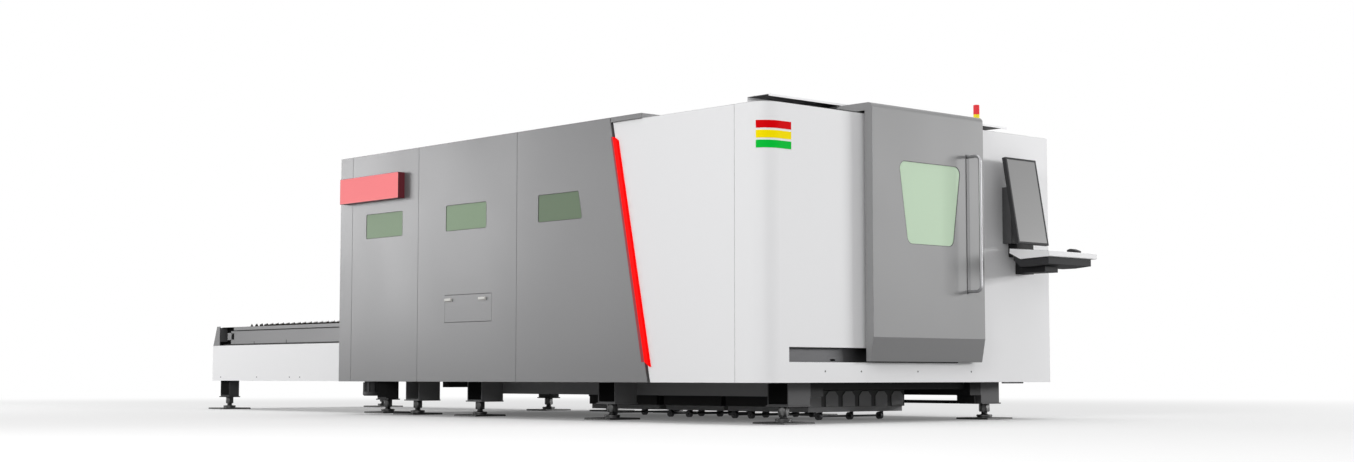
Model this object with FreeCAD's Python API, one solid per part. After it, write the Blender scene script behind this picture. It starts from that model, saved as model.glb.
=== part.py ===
import FreeCAD, Part
import math
import os

V = FreeCAD.Vector

# Fiber laser cutting machine: closed cabin with a sliding front door, gantry
# inside, and an exchange table behind it.  X runs to the right along the front
# wall, Y runs back towards the exchange table, Z runs up from the floor.
# All sizes are in millimetres.

# --- cabin ---------------------------------------------------------------
CABIN_WIDTH = 3300.0          # over the white side panels
CABIN_LENGTH = 5490.0         # front wall to rear wall
SKIRT_HEIGHT = 300.0          # lower edge of every side panel
WALL_TOP = 2300.0             # upper edge of the white panels
CAP_HEIGHT = 40.0             # grey roof cap above the white panels
SHEET = 3.0                   # sheet thickness of the panels
FOLD = 30.0                   # depth of the folded panel edges
GREY_PROUD = 12.0             # grey panels stand this far outside the white ones
SEAM = 3.0                    # open joint between two panels
CORNER_RADIUS = 155.0         # round front left corner
CORNER_SEAM_Y = 297.0         # joint between wrapped front wall and side panel
REAR_WRAP = 200.0             # rear wall sheet reaches forward along the sides
GREY_SEAM_1_BACK = 2652.0     # joints between the grey panels, from the rear wall
GREY_SEAM_2_BACK = 1249.0
SLANT_FOOT_Y = 1226.0         # slanted joint of grey and white, at the skirt
SLANT_LEAN = 12.24            # its lean from the vertical, degrees
GROOVE = 18.0                 # open width of the slanted joint
CAP_FRONT_Y = 1300.0          # front edge of the roof cap

# --- light strip in the slanted joint ------------------------------------
LIGHT_WIDTH = 50.0
LIGHT_FOOT = 116.0            # skirt to the light strip
LIGHT_HEAD = 148.0            # light strip to the wall top
LIGHT_END_RISE = 36.0         # slope of its two ends over the width
LIGHT_RECESS = 4.0            # face behind the white panel's face
LIGHT_GAP = 3.0

# --- side windows, hatch and sign ----------------------------------------
WINDOW_DROP = 720.0           # wall top to the windows' lower edge
WINDOW_HEIGHT = 220.0
WINDOW_LENGTH = 577.0
WINDOW_REAR_IN = 244.0        # panel joint to the window
WINDOW_MIDDLE_IN = 414.0
WINDOW_FRONT_IN = 281.0       # upright end of the slanted window to the joint
WINDOW_FRONT_LENGTH = 558.0   # lower edge of the slanted window
WINDOW_CORNER = 18.0
PANE = 6.0
PANE_LAP = 15.0
HATCH_IN = 332.0
HATCH_LENGTH = 665.0
HATCH_LOW_Z = 800.0
HATCH_HEIGHT = 235.0
HATCH_GAP = 1.5
HATCH_DEPTH = 20.0
HATCH_PIN_RADIUS = 3.0
PIN_CLEARANCE = 0.1
GRIP_LENGTH = 90.0
GRIP_HEIGHT = 30.0
GRIP_DEPTH = 16.0
GRIP_DROP = 30.0              # top of the flap to the top of a grip
SIGN_IN = 219.0
SIGN_LENGTH = 940.0
SIGN_DROP = 390.0
SIGN_HEIGHT = 230.0
SIGN_DEPTH = 68.0
SIGN_FACE_THICK = 5.0

# --- status bands round the front left corner ----------------------------
BAND_HEIGHT = 55.0
BAND_GAP = 16.0
BAND_DROP = 332.0
BAND_PROUD = 2.0
BAND_SIDE_Y = 91.0
BAND_FRONT_X = 277.0

# --- front door ----------------------------------------------------------
DOOR_X = 1035.0               # left edge, closed
DOOR_WIDTH = 1302.0
DOOR_FACE_Y = -100.0
DOOR_BACK_Y = -26.0
DOOR_LOW_Z = 455.0
DOOR_BEVEL = 180.0            # the front face slopes back over this height
DOOR_BEVEL_BACK = 34.0
HOOD_RISE = 75.0              # roof sheet to the hood's top
HOOD_RADIUS = 40.0
HOOD_CLEARANCE = 16.0         # roof sheet to the hood's end plates
HOOD_END_Y = 225.0
HOOD_TIP_Y = 261.0
HOOD_TIP_DROP = 17.0
HOOD_SLOPE = 202.0            # length of the end plates' rising edge
DOOR_FLANGE = 25.0
DOOR_TRAVEL = 880.0
OPENING_MARGIN = 96.0         # door laps the wall opening by this much
OPENING_RISE = 165.0          # door's lower edge to the opening
OPENING_DROP = 100.0          # wall top to the opening
DOOR_WINDOW_LOW_Z = 1340.0
DOOR_WINDOW_HIGH_Z = 1964.0
DOOR_WINDOW_TOP = 728.0
DOOR_WINDOW_BOTTOM = 532.0
DOOR_WINDOW_CORNER = 60.0
DOOR_PANE_LAP = 20.0
HANDLE_FROM_RIGHT = 197.0     # handle axis to the right door edge
HANDLE_LOW_Z = 1000.0
HANDLE_HIGH_Z = 2050.0
HANDLE_REACH = 125.0
HANDLE_BAR = 12.0             # bar radius
HANDLE_BEND = 40.0
STRIP_WIDTH = 34.0
STRIP_THICK = 5.0
STRIP_BORDER = 6.0            # bar to the strip's ends

# --- door track ----------------------------------------------------------
COVER_X = 320.0
COVER_FROM_RIGHT = 180.0
COVER_FRONT_Y = 265.0
COVER_DEPTH = 225.0
COVER_RISE = 28.0             # hood's top to the cover's top
COVER_LIP = 15.0
RAIL_Y = 400.0
RAIL_WIDTH = 8.0
RAIL_HEIGHT = 14.0
RAIL_FOOT_WIDTH = 50.0
RAIL_FOOT = 4.0
ROLLER_RADIUS = 22.0
ROLLER_FLANGE = 4.0
ROLLER_RIM = 4.0
ROLLER_AXLE = 5.0
ROLLER_INSET = 220.0
RAIL_STOP = 40.0              # roller axle to the rail's end, door open
RUN = 0.3                     # running gap between moving faces
SIDE_RUN = 0.5
SLOT_DROP = 7.0               # door's lower edge to the slot
SLOT_HEIGHT = 106.0
SLOT_END_MARGIN = 25.0
GUIDE_CHANNEL_DEPTH = 60.0
GUIDE_WIDTH = 30.0
GUIDE_HEIGHT = 30.0
GUIDE_INSET_LEFT = 134.0
GUIDE_INSET_RIGHT = 250.0
GUIDE_REACH = 45.0

# --- signal tower --------------------------------------------------------
TOWER_FROM_RIGHT = 440.0
TOWER_RADIUS = 29.0
TOWER_BASE = 14.0
LENS_HEIGHT = 50.0
TOWER_CAP = 10.0

# --- operator console ----------------------------------------------------
CONSOLE_FROM_RIGHT = 600.0
CONSOLE_WIDTH = 165.0
CONSOLE_DEPTH = 85.0
CONSOLE_LOW_Z = 1405.0
CONSOLE_HEIGHT = 452.0
CONSOLE_EDGE = 6.0            # rounding of its front edges
COLUMN_IN = 40.0              # console's left edge to the column
COLUMN_WIDTH = 250.0
ARM_HEIGHT = 47.0
ARM_REACH = 380.0
ARM_WIDTH = 170.0
MONITOR_OUT = 120.0           # console's left edge to the monitor's
MONITOR_WIDTH = 392.0
MONITOR_HEIGHT = 705.0
MONITOR_THICK = 35.0
MONITOR_LOW_Y = -250.0
MONITOR_LOW_Z = 1390.0
MONITOR_LEAN = 9.8
BEZEL = 17.0
PIVOT_Y = -128.0
PIVOT_Z = 1630.0
PIVOT_RADIUS = 14.0
PIVOT_PIN = 6.0
EAR = 12.0
TRAY_OUT = 40.0
TRAY_WIDTH = 630.0
TRAY_FRONT_Y = -480.0
TRAY_BACK_Y = -100.0
TRAY_TOP_FRONT_Z = 1325.0
TRAY_TOP_BACK_Z = 1359.0
TRAY_FRONT_THICK = 43.0
TRAY_BODY_INSET = 20.0
TRAY_BODY_RIGHT = 50.0
TRAY_BODY_LOW_Z = 1212.0
TRAY_BODY_NOSE = 150.0        # sloping underside of its front
MOUSE_IN = 535.0
MOUSE_Y = -330.0
MOUSE_LENGTH = 120.0
MOUSE_WIDTH = 66.0
MOUSE_HEIGHT = 32.0

# --- bed -----------------------------------------------------------------
BEAM_CLEARANCE = 40.0         # pallet side to the bed beam
BEAM_WIDTH = 140.0
BEAM_FRONT_Y = 190.0
BEAM_END_BACK = 90.0          # bed beam to the rear wall's face
BEAM_LOW_Z = 195.0
BED_LEDGE_FRONT = 50.0        # ledge in front of the pallet
BEAM_STEP_Z = 310.0
BED_TOP = 1020.0
BEAM_WALL = 10.0
CROSS_BEAM_WIDTH = 100.0
CROSS_BEAM_LOW_Z = 245.0
CROSS_BEAM_HEIGHT = 100.0
FOOT_FRONT_ROW = 295.0         # from the front wall
FOOT_MIDDLE_ROW = 2220.0
FOOT_REAR_ROW = 1490.0         # from the rear wall
FOOT_LAST_ROW = 540.0
CROSS_ROWS = (0, 2, 3)        # foot rows that also carry a cross beam
BRACKET_LENGTH = 230.0
BRACKET_WIDTH = 210.0
BRACKET_LOW_Z = 135.0
BRACKET_HIGH_Z = 420.0
BRACKET_WALL = 8.0
BRACKET_FLANGE = 10.0
FOOT_INSET = 60.0             # screw axis inside the bracket's open end
PLATE_SIZE = 320.0
PLATE_THICK = 15.0
PLATE_CHAMFER = 3.0
SCREW_NECK = 50.0             # across flats
SCREW_FOOT_RADIUS = 64.0
SCREW_FOOT_HEIGHT = 27.0
SCREW_NUT = 76.0              # across flats
SCREW_NUT_HEIGHT = 65.0
ARM_FRONT_ROW = 600.0          # from the front wall
ARM_MIDDLE_ROW = 2890.0        # from the rear wall
ARM_REAR_ROW = 1890.0
ARM_LAST_ROW = 890.0
CABIN_ARM_WIDTH = 60.0
CABIN_ARM_HEIGHT = 60.0
APRON_END_Y = 1110.0
APRON_LOW_Z = 127.0
APRON_BAR = 26.0
APRON_HANGER = 70.0
APRON_THICK = 6.0
GUIDE_RAIL_WIDTH = 40.0
GUIDE_RAIL_HEIGHT = 30.0
GUIDE_RAIL_STOP = 50.0        # truck to the rail's end at full travel
CHUTE_THICK = 5.0
CHUTE_HIGH_Z = 500.0
CHUTE_LOW_Z = 250.0
CHUTE_FRONT_Y = 400.0
CHUTE_BACK = 50.0             # chutes to the rear cross beam
CHUTE_REAR_GAP = 120.0        # rear floor sheet to the bed beam's end

# --- pallets -------------------------------------------------------------
PALLET_WIDTH = 1620.0
PALLET_LENGTH = 3130.0
PALLET_BAR = 60.0
PALLET_BAR_HEIGHT = 80.0
PALLET_TIE = 25.0
UPPER_PALLET_Z = 760.0
LEVEL_STEP = 230.0
PALLET_START = 120.0          # rear wall to the pallet on the table
PALLET_BACK = 120.0           # pallet in the cabin to the beam end
SLAT_HEIGHT = 125.0
SLAT_THICK = 4.0
SLAT_COUNT = 29
SLAT_TEETH = 8
TOOTH_DEPTH = 34.0
LEDGE_WIDTH = 80.0
LEDGE_THICK = 20.0

# --- gantry, carriage and head -------------------------------------------
GANTRY_OFFSET = 250.0         # gantry middle ahead of the pallet middle
GANTRY_TRAVEL = 1515.0
GANTRY_DEPTH = 320.0
TRUCK_HEIGHT = 70.0           # bed top to the gantry beam
GANTRY_HEIGHT = 300.0
GANTRY_WALL = 12.0
TRUCK_WIDTH = 80.0
TRUCK_LENGTH = 520.0
TRUCK_LIFT = 10.0             # bed top to the truck's underside
CROSS_RAIL = 20.0
CROSS_RAIL_OUT = 15.0
CROSS_RAIL_IN = 50.0          # beam's edges to the cross rails
CARRIAGE_WIDTH = 220.0
CARRIAGE_THICK = 40.0
CARRIAGE_BORDER = 20.0        # carriage plate to the beam's top and underside
CARRIAGE_TRAVEL = 750.0
CROSS_RAIL_STOP = 100.0
HEAD_WIDTH = 120.0
HEAD_DEPTH = 100.0
NOZZLE_LENGTH = 60.0
HEAD_HEIGHT = 420.0
HEAD_EDGE = 12.0              # rounding of its upright edges
NOZZLE_CLEARANCE = 90.0       # slat tips to the nozzle
NOZZLE_TOP_RADIUS = 30.0
NOZZLE_TIP_RADIUS = 6.0

# --- rear wall, opening and gate -----------------------------------------
EXCHANGE_MARGIN = 70.0        # pallet side to opening side
EXCHANGE_BELOW = 60.0         # opening below the lower pallet
EXCHANGE_ABOVE = 250.0        # opening above the upper pallet's underside
GATE_THICK = 5.0
GATE_LAP = 25.0
GATE_OFFSET = 45.0            # gate plane inside the rear wall face
GATE_CLEAR = 20.0             # raised gate above the opening
GATE_GUIDE_WIDTH = 36.0
GATE_SLOT_DEPTH = 21.0

# --- exchange table ------------------------------------------------------
CHEEK_DEPTH = 139.0
SKIRT_OUT = 180.0             # table beam to the skirt
SKIRT_TOP = 670.0
TABLE_LEG_WIDTH = 114.0
TABLE_LEG_DEPTH = 185.0
TABLE_LEG_OUT = 60.0           # table beam to the leg's middle
TABLE_LEG_FRONT = 230.0        # rear wall to the front legs
TABLE_LEG_BACK = 160.0         # table end to the rear legs
TABLE_CROSS_HEIGHT = 100.0
TABLE_BEAM_BELOW = 90.0       # beam below the lower pallet
TABLE_BEAM_ABOVE = 100.0      # beam above the upper pallet's underside
TABLE_BEAM_WIDTH = 80.0
TABLE_BEAM_CLEARANCE = 20.0   # pallet side to the table beam
SIDE_RAIL_OUT = 134.0         # table beam to the grey rail's web
SIDE_RAIL_GAP = 2.0
SIDE_RAIL_BACK = 236.0
RAIL_LIP_OUT = 12.0
RAIL_LIP_HEIGHT = 35.0
RAIL_FOLD = 26.0
RAIL_SHEET = 4.0
CHEEK_THICK = 8.0
PALLET_END_GAP = 6.0
CHEEK_RISE = 13.0
CHEEK_SLOPE = 75.0
END_BEAM_DEPTH = 40.0
END_BEAM_HEIGHT = 160.0

# --- exchange drive ------------------------------------------------------
DRIVE_BACK = 510.0            # rear wall to the drive shaft
IDLER_IN = 225.0              # table end to the idler shaft
SHAFT_RADIUS = 12.0
SHAFT_DROP = 38.0             # upper pallet's underside to the shaft's axis
WHEEL_RADIUS = 22.0
CHAIN_THICK = 6.0
CHAIN_WIDTH = 12.0
CHAIN_IN = 50.0               # pallet side to the chain
MOTOR_OUT = 35.0
MOTOR_RADIUS = 105.0
MOTOR_CORE = 90.0
MOTOR_FINS = 12
FIN_THICK = 7.0
MOTOR_LOW_Z = 160.0
MOTOR_COWL = 38.0
COWL_CHAMFER = 12.0
MOTOR_TOP_Z = 300.0
GEARBOX_WIDTH = 190.0
DRIVE_CASE_LENGTH = 140.0     # case of the belt up to the drive shaft

# --- slag carts ----------------------------------------------------------
CART_CLEARANCE = 30.0         # right bed beam to the carts
CART_WIDTH = 1170.0
CART_LOW_Z = 105.0
CART_TOP = 235.0
CART_STARTS = (850.0, 1800.0, 2590.0)
CART_LENGTHS = (900.0, 700.0, 890.0)
CART_WHEEL_INSET = 72.0
CHASSIS_LOW_Z = 65.0
CHASSIS_INSET = 30.0
CHASSIS_BAR = 40.0
CART_PANELS = 6
CART_PANEL_WIDTH = 144.0
CART_PANEL_PROUD = 10.0
CART_PANEL_CHAMFER = 35.0
DRAWBAR = 40.0
WHEEL_LIFT = 0.3              # wheels this far clear of the floor
CART_WHEEL_RADIUS = 30.0
CART_WHEEL_WIDTH = 30.0
CART_WHEEL_SPACING = 360.0
CART_AXLE = 8.0
HANGER = 6.0

# --- values worked out from the sizes above -------------------------------
CENTRE_X = CABIN_WIDTH / 2
CAP_TOP = WALL_TOP + CAP_HEIGHT
ROOF_TOP = WALL_TOP + SHEET
PAN_DEPTH = FOLD + GREY_PROUD
TAN_LEAN = math.tan(math.radians(SLANT_LEAN))
REAR_SEAM_Y = CABIN_LENGTH - REAR_WRAP
GREY_SEAM_1_Y = CABIN_LENGTH - GREY_SEAM_1_BACK
GREY_SEAM_2_Y = CABIN_LENGTH - GREY_SEAM_2_BACK
LIGHT_LOW_Z = SKIRT_HEIGHT + LIGHT_FOOT
LIGHT_HIGH_Z = WALL_TOP - LIGHT_HEAD
WINDOW_LOW_Z = WALL_TOP - WINDOW_DROP
WINDOW_REAR_Y = GREY_SEAM_2_Y + WINDOW_REAR_IN
WINDOW_MIDDLE_Y = GREY_SEAM_1_Y + WINDOW_MIDDLE_IN
WINDOW_FRONT_END_Y = GREY_SEAM_1_Y - WINDOW_FRONT_IN
WINDOW_FRONT_Y = WINDOW_FRONT_END_Y - WINDOW_FRONT_LENGTH
HATCH_Y = GREY_SEAM_1_Y + HATCH_IN
SIGN_Y = GREY_SEAM_2_Y + SIGN_IN
SIGN_LOW_Z = WALL_TOP - SIGN_DROP
SIGN_FACE_X = -GREY_PROUD - SIGN_DEPTH
BAND_LOW_Z = WALL_TOP - BAND_DROP

DOOR_END_X = DOOR_X + DOOR_WIDTH
DOOR_BEVEL_Z = DOOR_LOW_Z + DOOR_BEVEL
OPENING_LOW_Z = DOOR_LOW_Z + OPENING_RISE
OPENING_HIGH_Z = WALL_TOP - OPENING_DROP
SLOT_LOW_Z = DOOR_LOW_Z - SLOT_DROP
HOOD_TOP = ROOF_TOP + HOOD_RISE
HOOD_SKIRT_Z = ROOF_TOP + HOOD_CLEARANCE
HOOD_TIP_Z = HOOD_TOP - HOOD_TIP_DROP
COVER_TOP = HOOD_TOP + COVER_RISE
COVER_END_X = CABIN_WIDTH - COVER_FROM_RIGHT
TOWER_X = CABIN_WIDTH - TOWER_FROM_RIGHT
CONSOLE_X = CABIN_WIDTH - CONSOLE_FROM_RIGHT
COLUMN_X = CONSOLE_X + COLUMN_IN
MONITOR_X = CONSOLE_X - MONITOR_OUT
TRAY_X = CONSOLE_X - TRAY_OUT
ARM_LOW_Z = TRAY_BODY_LOW_Z - ARM_HEIGHT
MOUSE_X = TRAY_X + MOUSE_IN

PALLET_X = CENTRE_X - PALLET_WIDTH / 2
LOWER_PALLET_Z = UPPER_PALLET_Z - LEVEL_STEP
BEAM_INNER_X = PALLET_X - BEAM_CLEARANCE
BEAM_X = BEAM_INNER_X - BEAM_WIDTH
BEAM_END_Y = CABIN_LENGTH - BEAM_END_BACK
FOOT_ROWS = (
    FOOT_FRONT_ROW,
    FOOT_MIDDLE_ROW,
    CABIN_LENGTH - FOOT_REAR_ROW,
    CABIN_LENGTH - FOOT_LAST_ROW,
)
CABIN_ARM_ROWS = (
    ARM_FRONT_ROW,
    CABIN_LENGTH - ARM_MIDDLE_ROW,
    CABIN_LENGTH - ARM_REAR_ROW,
    CABIN_LENGTH - ARM_LAST_ROW,
)
BEAM_STEP_Y = FOOT_ROWS[2] + BRACKET_WIDTH / 2
BED_FOOT_X = BEAM_X - BRACKET_LENGTH + FOOT_INSET
FOOT_TOP = BRACKET_LOW_Z - BRACKET_FLANGE
CHUTE_END_Y = FOOT_ROWS[2] - CROSS_BEAM_WIDTH / 2 - CHUTE_BACK
PALLET_IN_Y = BEAM_END_Y - PALLET_BACK - PALLET_LENGTH
BED_LEDGE_FRONT_Y = PALLET_IN_Y - BED_LEDGE_FRONT
GANTRY_Y = PALLET_IN_Y + PALLET_LENGTH / 2 - GANTRY_OFFSET
GANTRY_LOW_Z = BED_TOP + TRUCK_HEIGHT
NOZZLE_Z = UPPER_PALLET_Z + PALLET_TIE + SLAT_HEIGHT + NOZZLE_CLEARANCE
HEAD_LOW_Z = NOZZLE_Z + NOZZLE_LENGTH
EXCHANGE_LOW_Z = LOWER_PALLET_Z - EXCHANGE_BELOW
EXCHANGE_HIGH_Z = UPPER_PALLET_Z + EXCHANGE_ABOVE
GATE_TRAVEL = EXCHANGE_HIGH_Z - EXCHANGE_LOW_Z + GATE_CLEAR
CART_X = 2 * CENTRE_X - BEAM_INNER_X - CART_CLEARANCE - CART_WIDTH

TABLE_Y = CABIN_LENGTH
PALLET_OUT_Y = TABLE_Y + PALLET_START
CHEEK_FRONT_Y = PALLET_OUT_Y + PALLET_LENGTH + PALLET_END_GAP
TABLE_END_Y = CHEEK_FRONT_Y + CHEEK_DEPTH
TABLE_BEAM_X = PALLET_X - TABLE_BEAM_CLEARANCE - TABLE_BEAM_WIDTH
TABLE_BEAM_INNER_X = TABLE_BEAM_X + TABLE_BEAM_WIDTH
TABLE_BEAM_LOW_Z = LOWER_PALLET_Z - TABLE_BEAM_BELOW
TABLE_BEAM_TOP = UPPER_PALLET_Z + TABLE_BEAM_ABOVE
TABLE_LEG_X = TABLE_BEAM_X - TABLE_LEG_OUT
TABLE_LEG_ROWS = (TABLE_Y + TABLE_LEG_FRONT, TABLE_END_Y - TABLE_LEG_BACK)
SKIRT_X = TABLE_BEAM_X - SKIRT_OUT
SIDE_RAIL_X = TABLE_BEAM_X - SIDE_RAIL_OUT
SIDE_RAIL_LOW_Z = SKIRT_TOP + SIDE_RAIL_GAP
SIDE_RAIL_END_Y = CHEEK_FRONT_Y - SIDE_RAIL_BACK
CHEEK_TOP_Z = TABLE_BEAM_TOP + CHEEK_RISE
END_BEAM_LOW_Z = TABLE_BEAM_TOP - END_BEAM_HEIGHT
DRIVE_Y = TABLE_Y + DRIVE_BACK
IDLER_Y = TABLE_END_Y - IDLER_IN
CHAIN_X = PALLET_X + CHAIN_IN
MOTOR_X = TABLE_BEAM_X - MOTOR_OUT
SHAFT_Z = UPPER_PALLET_Z - SHAFT_DROP

# the part's frame: middle of the whole machine, on the floor
FRAME_X = (SIGN_FACE_X + CABIN_WIDTH + GREY_PROUD) / 2
REAR_END_Y = max(TABLE_END_Y, TABLE_LEG_ROWS[-1] + PLATE_SIZE / 2)
FRAME_Y = (TRAY_FRONT_Y + REAR_END_Y) / 2


def box(x0, x1, y0, y1, z0, z1):
    """Block between two corners."""
    return Part.makeBox(x1 - x0, y1 - y0, z1 - z0, V(x0, y0, z0))


def at_x(x):
    """Place outline points (y, z) in the upright plane at x."""
    return lambda p: V(x, p[0], p[1])


def at_y(y):
    """Place outline points (x, z) in the upright plane at y."""
    return lambda p: V(p[0], y, p[1])


def at_z(z):
    """Place outline points (x, y) in the level plane at z."""
    return lambda p: V(p[0], p[1], z)


def outline(points, place, radii=None):
    """Closed wire through points, with a tangent arc where a radius is given."""
    count = len(points)
    radii = radii or [0.0] * count
    starts, ends, mids = [], [], []
    for i in range(count):
        here = place(points[i])
        back = (place(points[i - 1]) - here).normalize()
        ahead = (place(points[(i + 1) % count]) - here).normalize()
        if radii[i] <= 0:
            starts.append(here)
            ends.append(here)
            mids.append(None)
            continue
        half = back.getAngle(ahead) / 2
        reach = radii[i] / math.tan(half)
        bisector = (back + ahead).normalize()
        centre = here + bisector * (radii[i] / math.sin(half))
        starts.append(here + back * reach)
        ends.append(here + ahead * reach)
        mids.append(centre - bisector * radii[i])
    edges = []
    for i in range(count):
        if mids[i] is not None:
            edges.append(Part.Arc(starts[i], mids[i], ends[i]).toShape())
        follow = starts[(i + 1) % count]
        if ends[i].distanceToPoint(follow) > 1e-6:
            edges.append(Part.LineSegment(ends[i], follow).toShape())
    return Part.Wire(edges)


def prism(points, place, along, radii=None):
    """Solid made by pushing a closed outline along a vector."""
    return Part.Face(outline(points, place, radii)).extrude(along)


def slab_x(points, x0, x1, radii=None):
    """Outline (y, z) pushed from x0 to x1."""
    return prism(points, at_x(x0), V(x1 - x0, 0, 0), radii)


def slab_y(points, y0, y1, radii=None):
    """Outline (x, z) pushed from y0 to y1."""
    return prism(points, at_y(y0), V(0, y1 - y0, 0), radii)


def slab_z(points, z0, z1, radii=None):
    """Outline (x, y) pushed from z0 to z1."""
    return prism(points, at_z(z0), V(0, 0, z1 - z0), radii)


def inset(points, distance):
    """Outline moved inwards by a distance, or outwards if it is negative."""
    count = len(points)
    area = 0.0
    for i in range(count):
        a, b = points[i], points[(i + 1) % count]
        area += a[0] * b[1] - b[0] * a[1]
    turn = 1.0 if area > 0 else -1.0
    lines = []
    for i in range(count):
        a, b = points[i], points[(i + 1) % count]
        run, rise = b[0] - a[0], b[1] - a[1]
        size = math.hypot(run, rise)
        shift_u = -rise / size * distance * turn
        shift_v = run / size * distance * turn
        lines.append((a[0] + shift_u, a[1] + shift_v, run, rise))
    moved = []
    for i in range(count):
        u1, v1, du1, dv1 = lines[i - 1]
        u2, v2, du2, dv2 = lines[i]
        cross = du1 * dv2 - dv1 * du2
        share = ((u2 - u1) * dv2 - (v2 - v1) * du2) / cross
        moved.append((u1 + du1 * share, v1 + dv1 * share))
    return moved


def pan_x(points, x_face, depth):
    """Folded sheet panel facing -X: a skin with all edges folded inwards."""
    block = slab_x(points, x_face, x_face + depth)
    hollow = slab_x(inset(points, SHEET), x_face + SHEET, x_face + depth + SHEET)
    return block.cut(hollow)


def rod(point, direction, radius, length):
    """Round bar from a point along a direction."""
    return Part.makeCylinder(radius, length, point, direction)


def hexagon(x, y, z0, z1, flats):
    """Six-sided upright prism, given across its flats."""
    reach = flats / math.sqrt(3)
    corners = [
        (x + reach * math.cos(math.radians(60 * k)), y + reach * math.sin(math.radians(60 * k)))
        for k in range(6)
    ]
    return slab_z(corners, z0, z1)


def upright_edges(block):
    """Edges of a block that run upwards."""
    return [e for e in block.Edges if abs(e.Vertexes[0].Z - e.Vertexes[-1].Z) > 1]


def mirrored(shape):
    """The same piece on the other side of the machine's middle plane."""
    return shape.mirror(V(CENTRE_X, 0, 0), V(1, 0, 0))


def both_sides(shape):
    """A piece and its mirror image."""
    return [shape, mirrored(shape)]


def fused(shapes):
    """One solid from pieces that are welded or cast together."""
    whole = shapes[0].multiFuse(shapes[1:]) if len(shapes) > 1 else shapes[0]
    return whole.removeSplitter()


def save(name, shapes):
    """Write one sub-part, moved into the part's frame."""
    pieces = shapes if isinstance(shapes, list) else [shapes]
    shape = pieces[0] if len(pieces) == 1 else Part.makeCompound(pieces)
    shape = shape.copy()
    shape.translate(V(-FRAME_X, -FRAME_Y, 0))
    shape.exportStep("parts/" + name + ".step")


def slant_y(z):
    """Edge of the grey panels in the slanted joint, at height z."""
    return SLANT_FOOT_Y + (z - SKIRT_HEIGHT) * TAN_LEAN


# ------------------------------------------------------------------ bed --
def bed_beam():
    """Closed box beam with a raised underside at the rear."""
    side = [
        (BEAM_FRONT_Y, BEAM_LOW_Z),
        (BEAM_STEP_Y, BEAM_LOW_Z),
        (BEAM_STEP_Y, BEAM_STEP_Z),
        (BEAM_END_Y, BEAM_STEP_Z),
        (BEAM_END_Y, BED_TOP),
        (BEAM_FRONT_Y, BED_TOP),
    ]
    x0, x1 = BEAM_X + BEAM_WALL, BEAM_INNER_X - BEAM_WALL
    y0, y1 = BEAM_FRONT_Y + BEAM_WALL, BEAM_END_Y - BEAM_WALL
    upper = box(x0, x1, y0, y1, BEAM_STEP_Z + BEAM_WALL, BED_TOP - BEAM_WALL)
    floor_z, ceiling_z = BEAM_LOW_Z + BEAM_WALL, BEAM_STEP_Z + BEAM_WALL + 1
    lower = box(x0, x1, y0, BEAM_STEP_Y - BEAM_WALL, floor_z, ceiling_z)
    return slab_x(side, BEAM_X, BEAM_INNER_X).cut(upper.fuse(lower))


def leg_bracket(y):
    """Short box tube that carries a levelling screw, open outwards."""
    x0, x1 = BEAM_X - BRACKET_LENGTH, BEAM_X
    half = BRACKET_WIDTH / 2
    tube = box(x0, x1, y - half, y + half, BRACKET_LOW_Z, BRACKET_HIGH_Z)
    inner = half - BRACKET_WALL
    low, high = BRACKET_LOW_Z + BRACKET_WALL, BRACKET_HIGH_Z - BRACKET_WALL
    tube = tube.cut(box(x0 - 1, x1 - BRACKET_WALL, y - inner, y + inner, low, high))
    lip = BRACKET_FLANGE
    flange = box(x0 - lip, x1, y - half - lip, y + half + lip, FOOT_TOP, BRACKET_LOW_Z)
    return fused([tube, flange])


def cabin_arm(y):
    """Arm that carries a side panel on its lower fold."""
    white = y < slant_y(SKIRT_HEIGHT)
    x0 = SHEET if white else SHEET - GREY_PROUD
    low = SKIRT_HEIGHT + SHEET
    half = CABIN_ARM_WIDTH / 2
    return box(x0, BEAM_X, y - half, y + half, low, low + CABIN_ARM_HEIGHT)


def foot_places():
    """Middle of every levelling screw."""
    places = []
    for x, rows in ((BED_FOOT_X, FOOT_ROWS), (TABLE_LEG_X, TABLE_LEG_ROWS)):
        for y in rows:
            places.append((x, y))
            places.append((2 * CENTRE_X - x, y))
    return places


def floor_plate(x, y):
    """Square plate under a levelling screw, with a broken top edge."""
    half = PLATE_SIZE / 2
    plate = box(x - half, x + half, y - half, y + half, 0, PLATE_THICK)
    top = [e for e in plate.Edges if min(v.Z for v in e.Vertexes) > PLATE_THICK - 0.1]
    return plate.makeChamfer(PLATE_CHAMFER, top)


def levelling_screw(x, y):
    """Screw with a round foot on its plate and a coupling nut under the bracket."""
    foot = rod(V(x, y, PLATE_THICK), V(0, 0, 1), SCREW_FOOT_RADIUS, SCREW_FOOT_HEIGHT)
    nut_low = FOOT_TOP - SCREW_NUT_HEIGHT
    neck = hexagon(x, y, PLATE_THICK + SCREW_FOOT_HEIGHT, nut_low, SCREW_NECK)
    nut = hexagon(x, y, nut_low, FOOT_TOP, SCREW_NUT)
    return fused([foot, neck, nut])


def bay_apron():
    """Plate hung under the right bed beam, with a long open window."""
    x = 2 * CENTRE_X - BEAM_INNER_X + BEAM_WIDTH / 2
    front = BEAM_FRONT_Y + BEAM_WALL
    plate = box(x, x + APRON_THICK, front, APRON_END_Y, APRON_LOW_Z, BEAM_LOW_Z)
    window_front = FOOT_ROWS[0] + BRACKET_WIDTH / 2 - 20.0
    window_end = APRON_END_Y - APRON_HANGER
    low = APRON_LOW_Z + APRON_BAR
    window = box(x - 1, x + APRON_THICK + 1, window_front, window_end, low, BEAM_LOW_Z + 1)
    return plate.cut(window)


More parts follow.
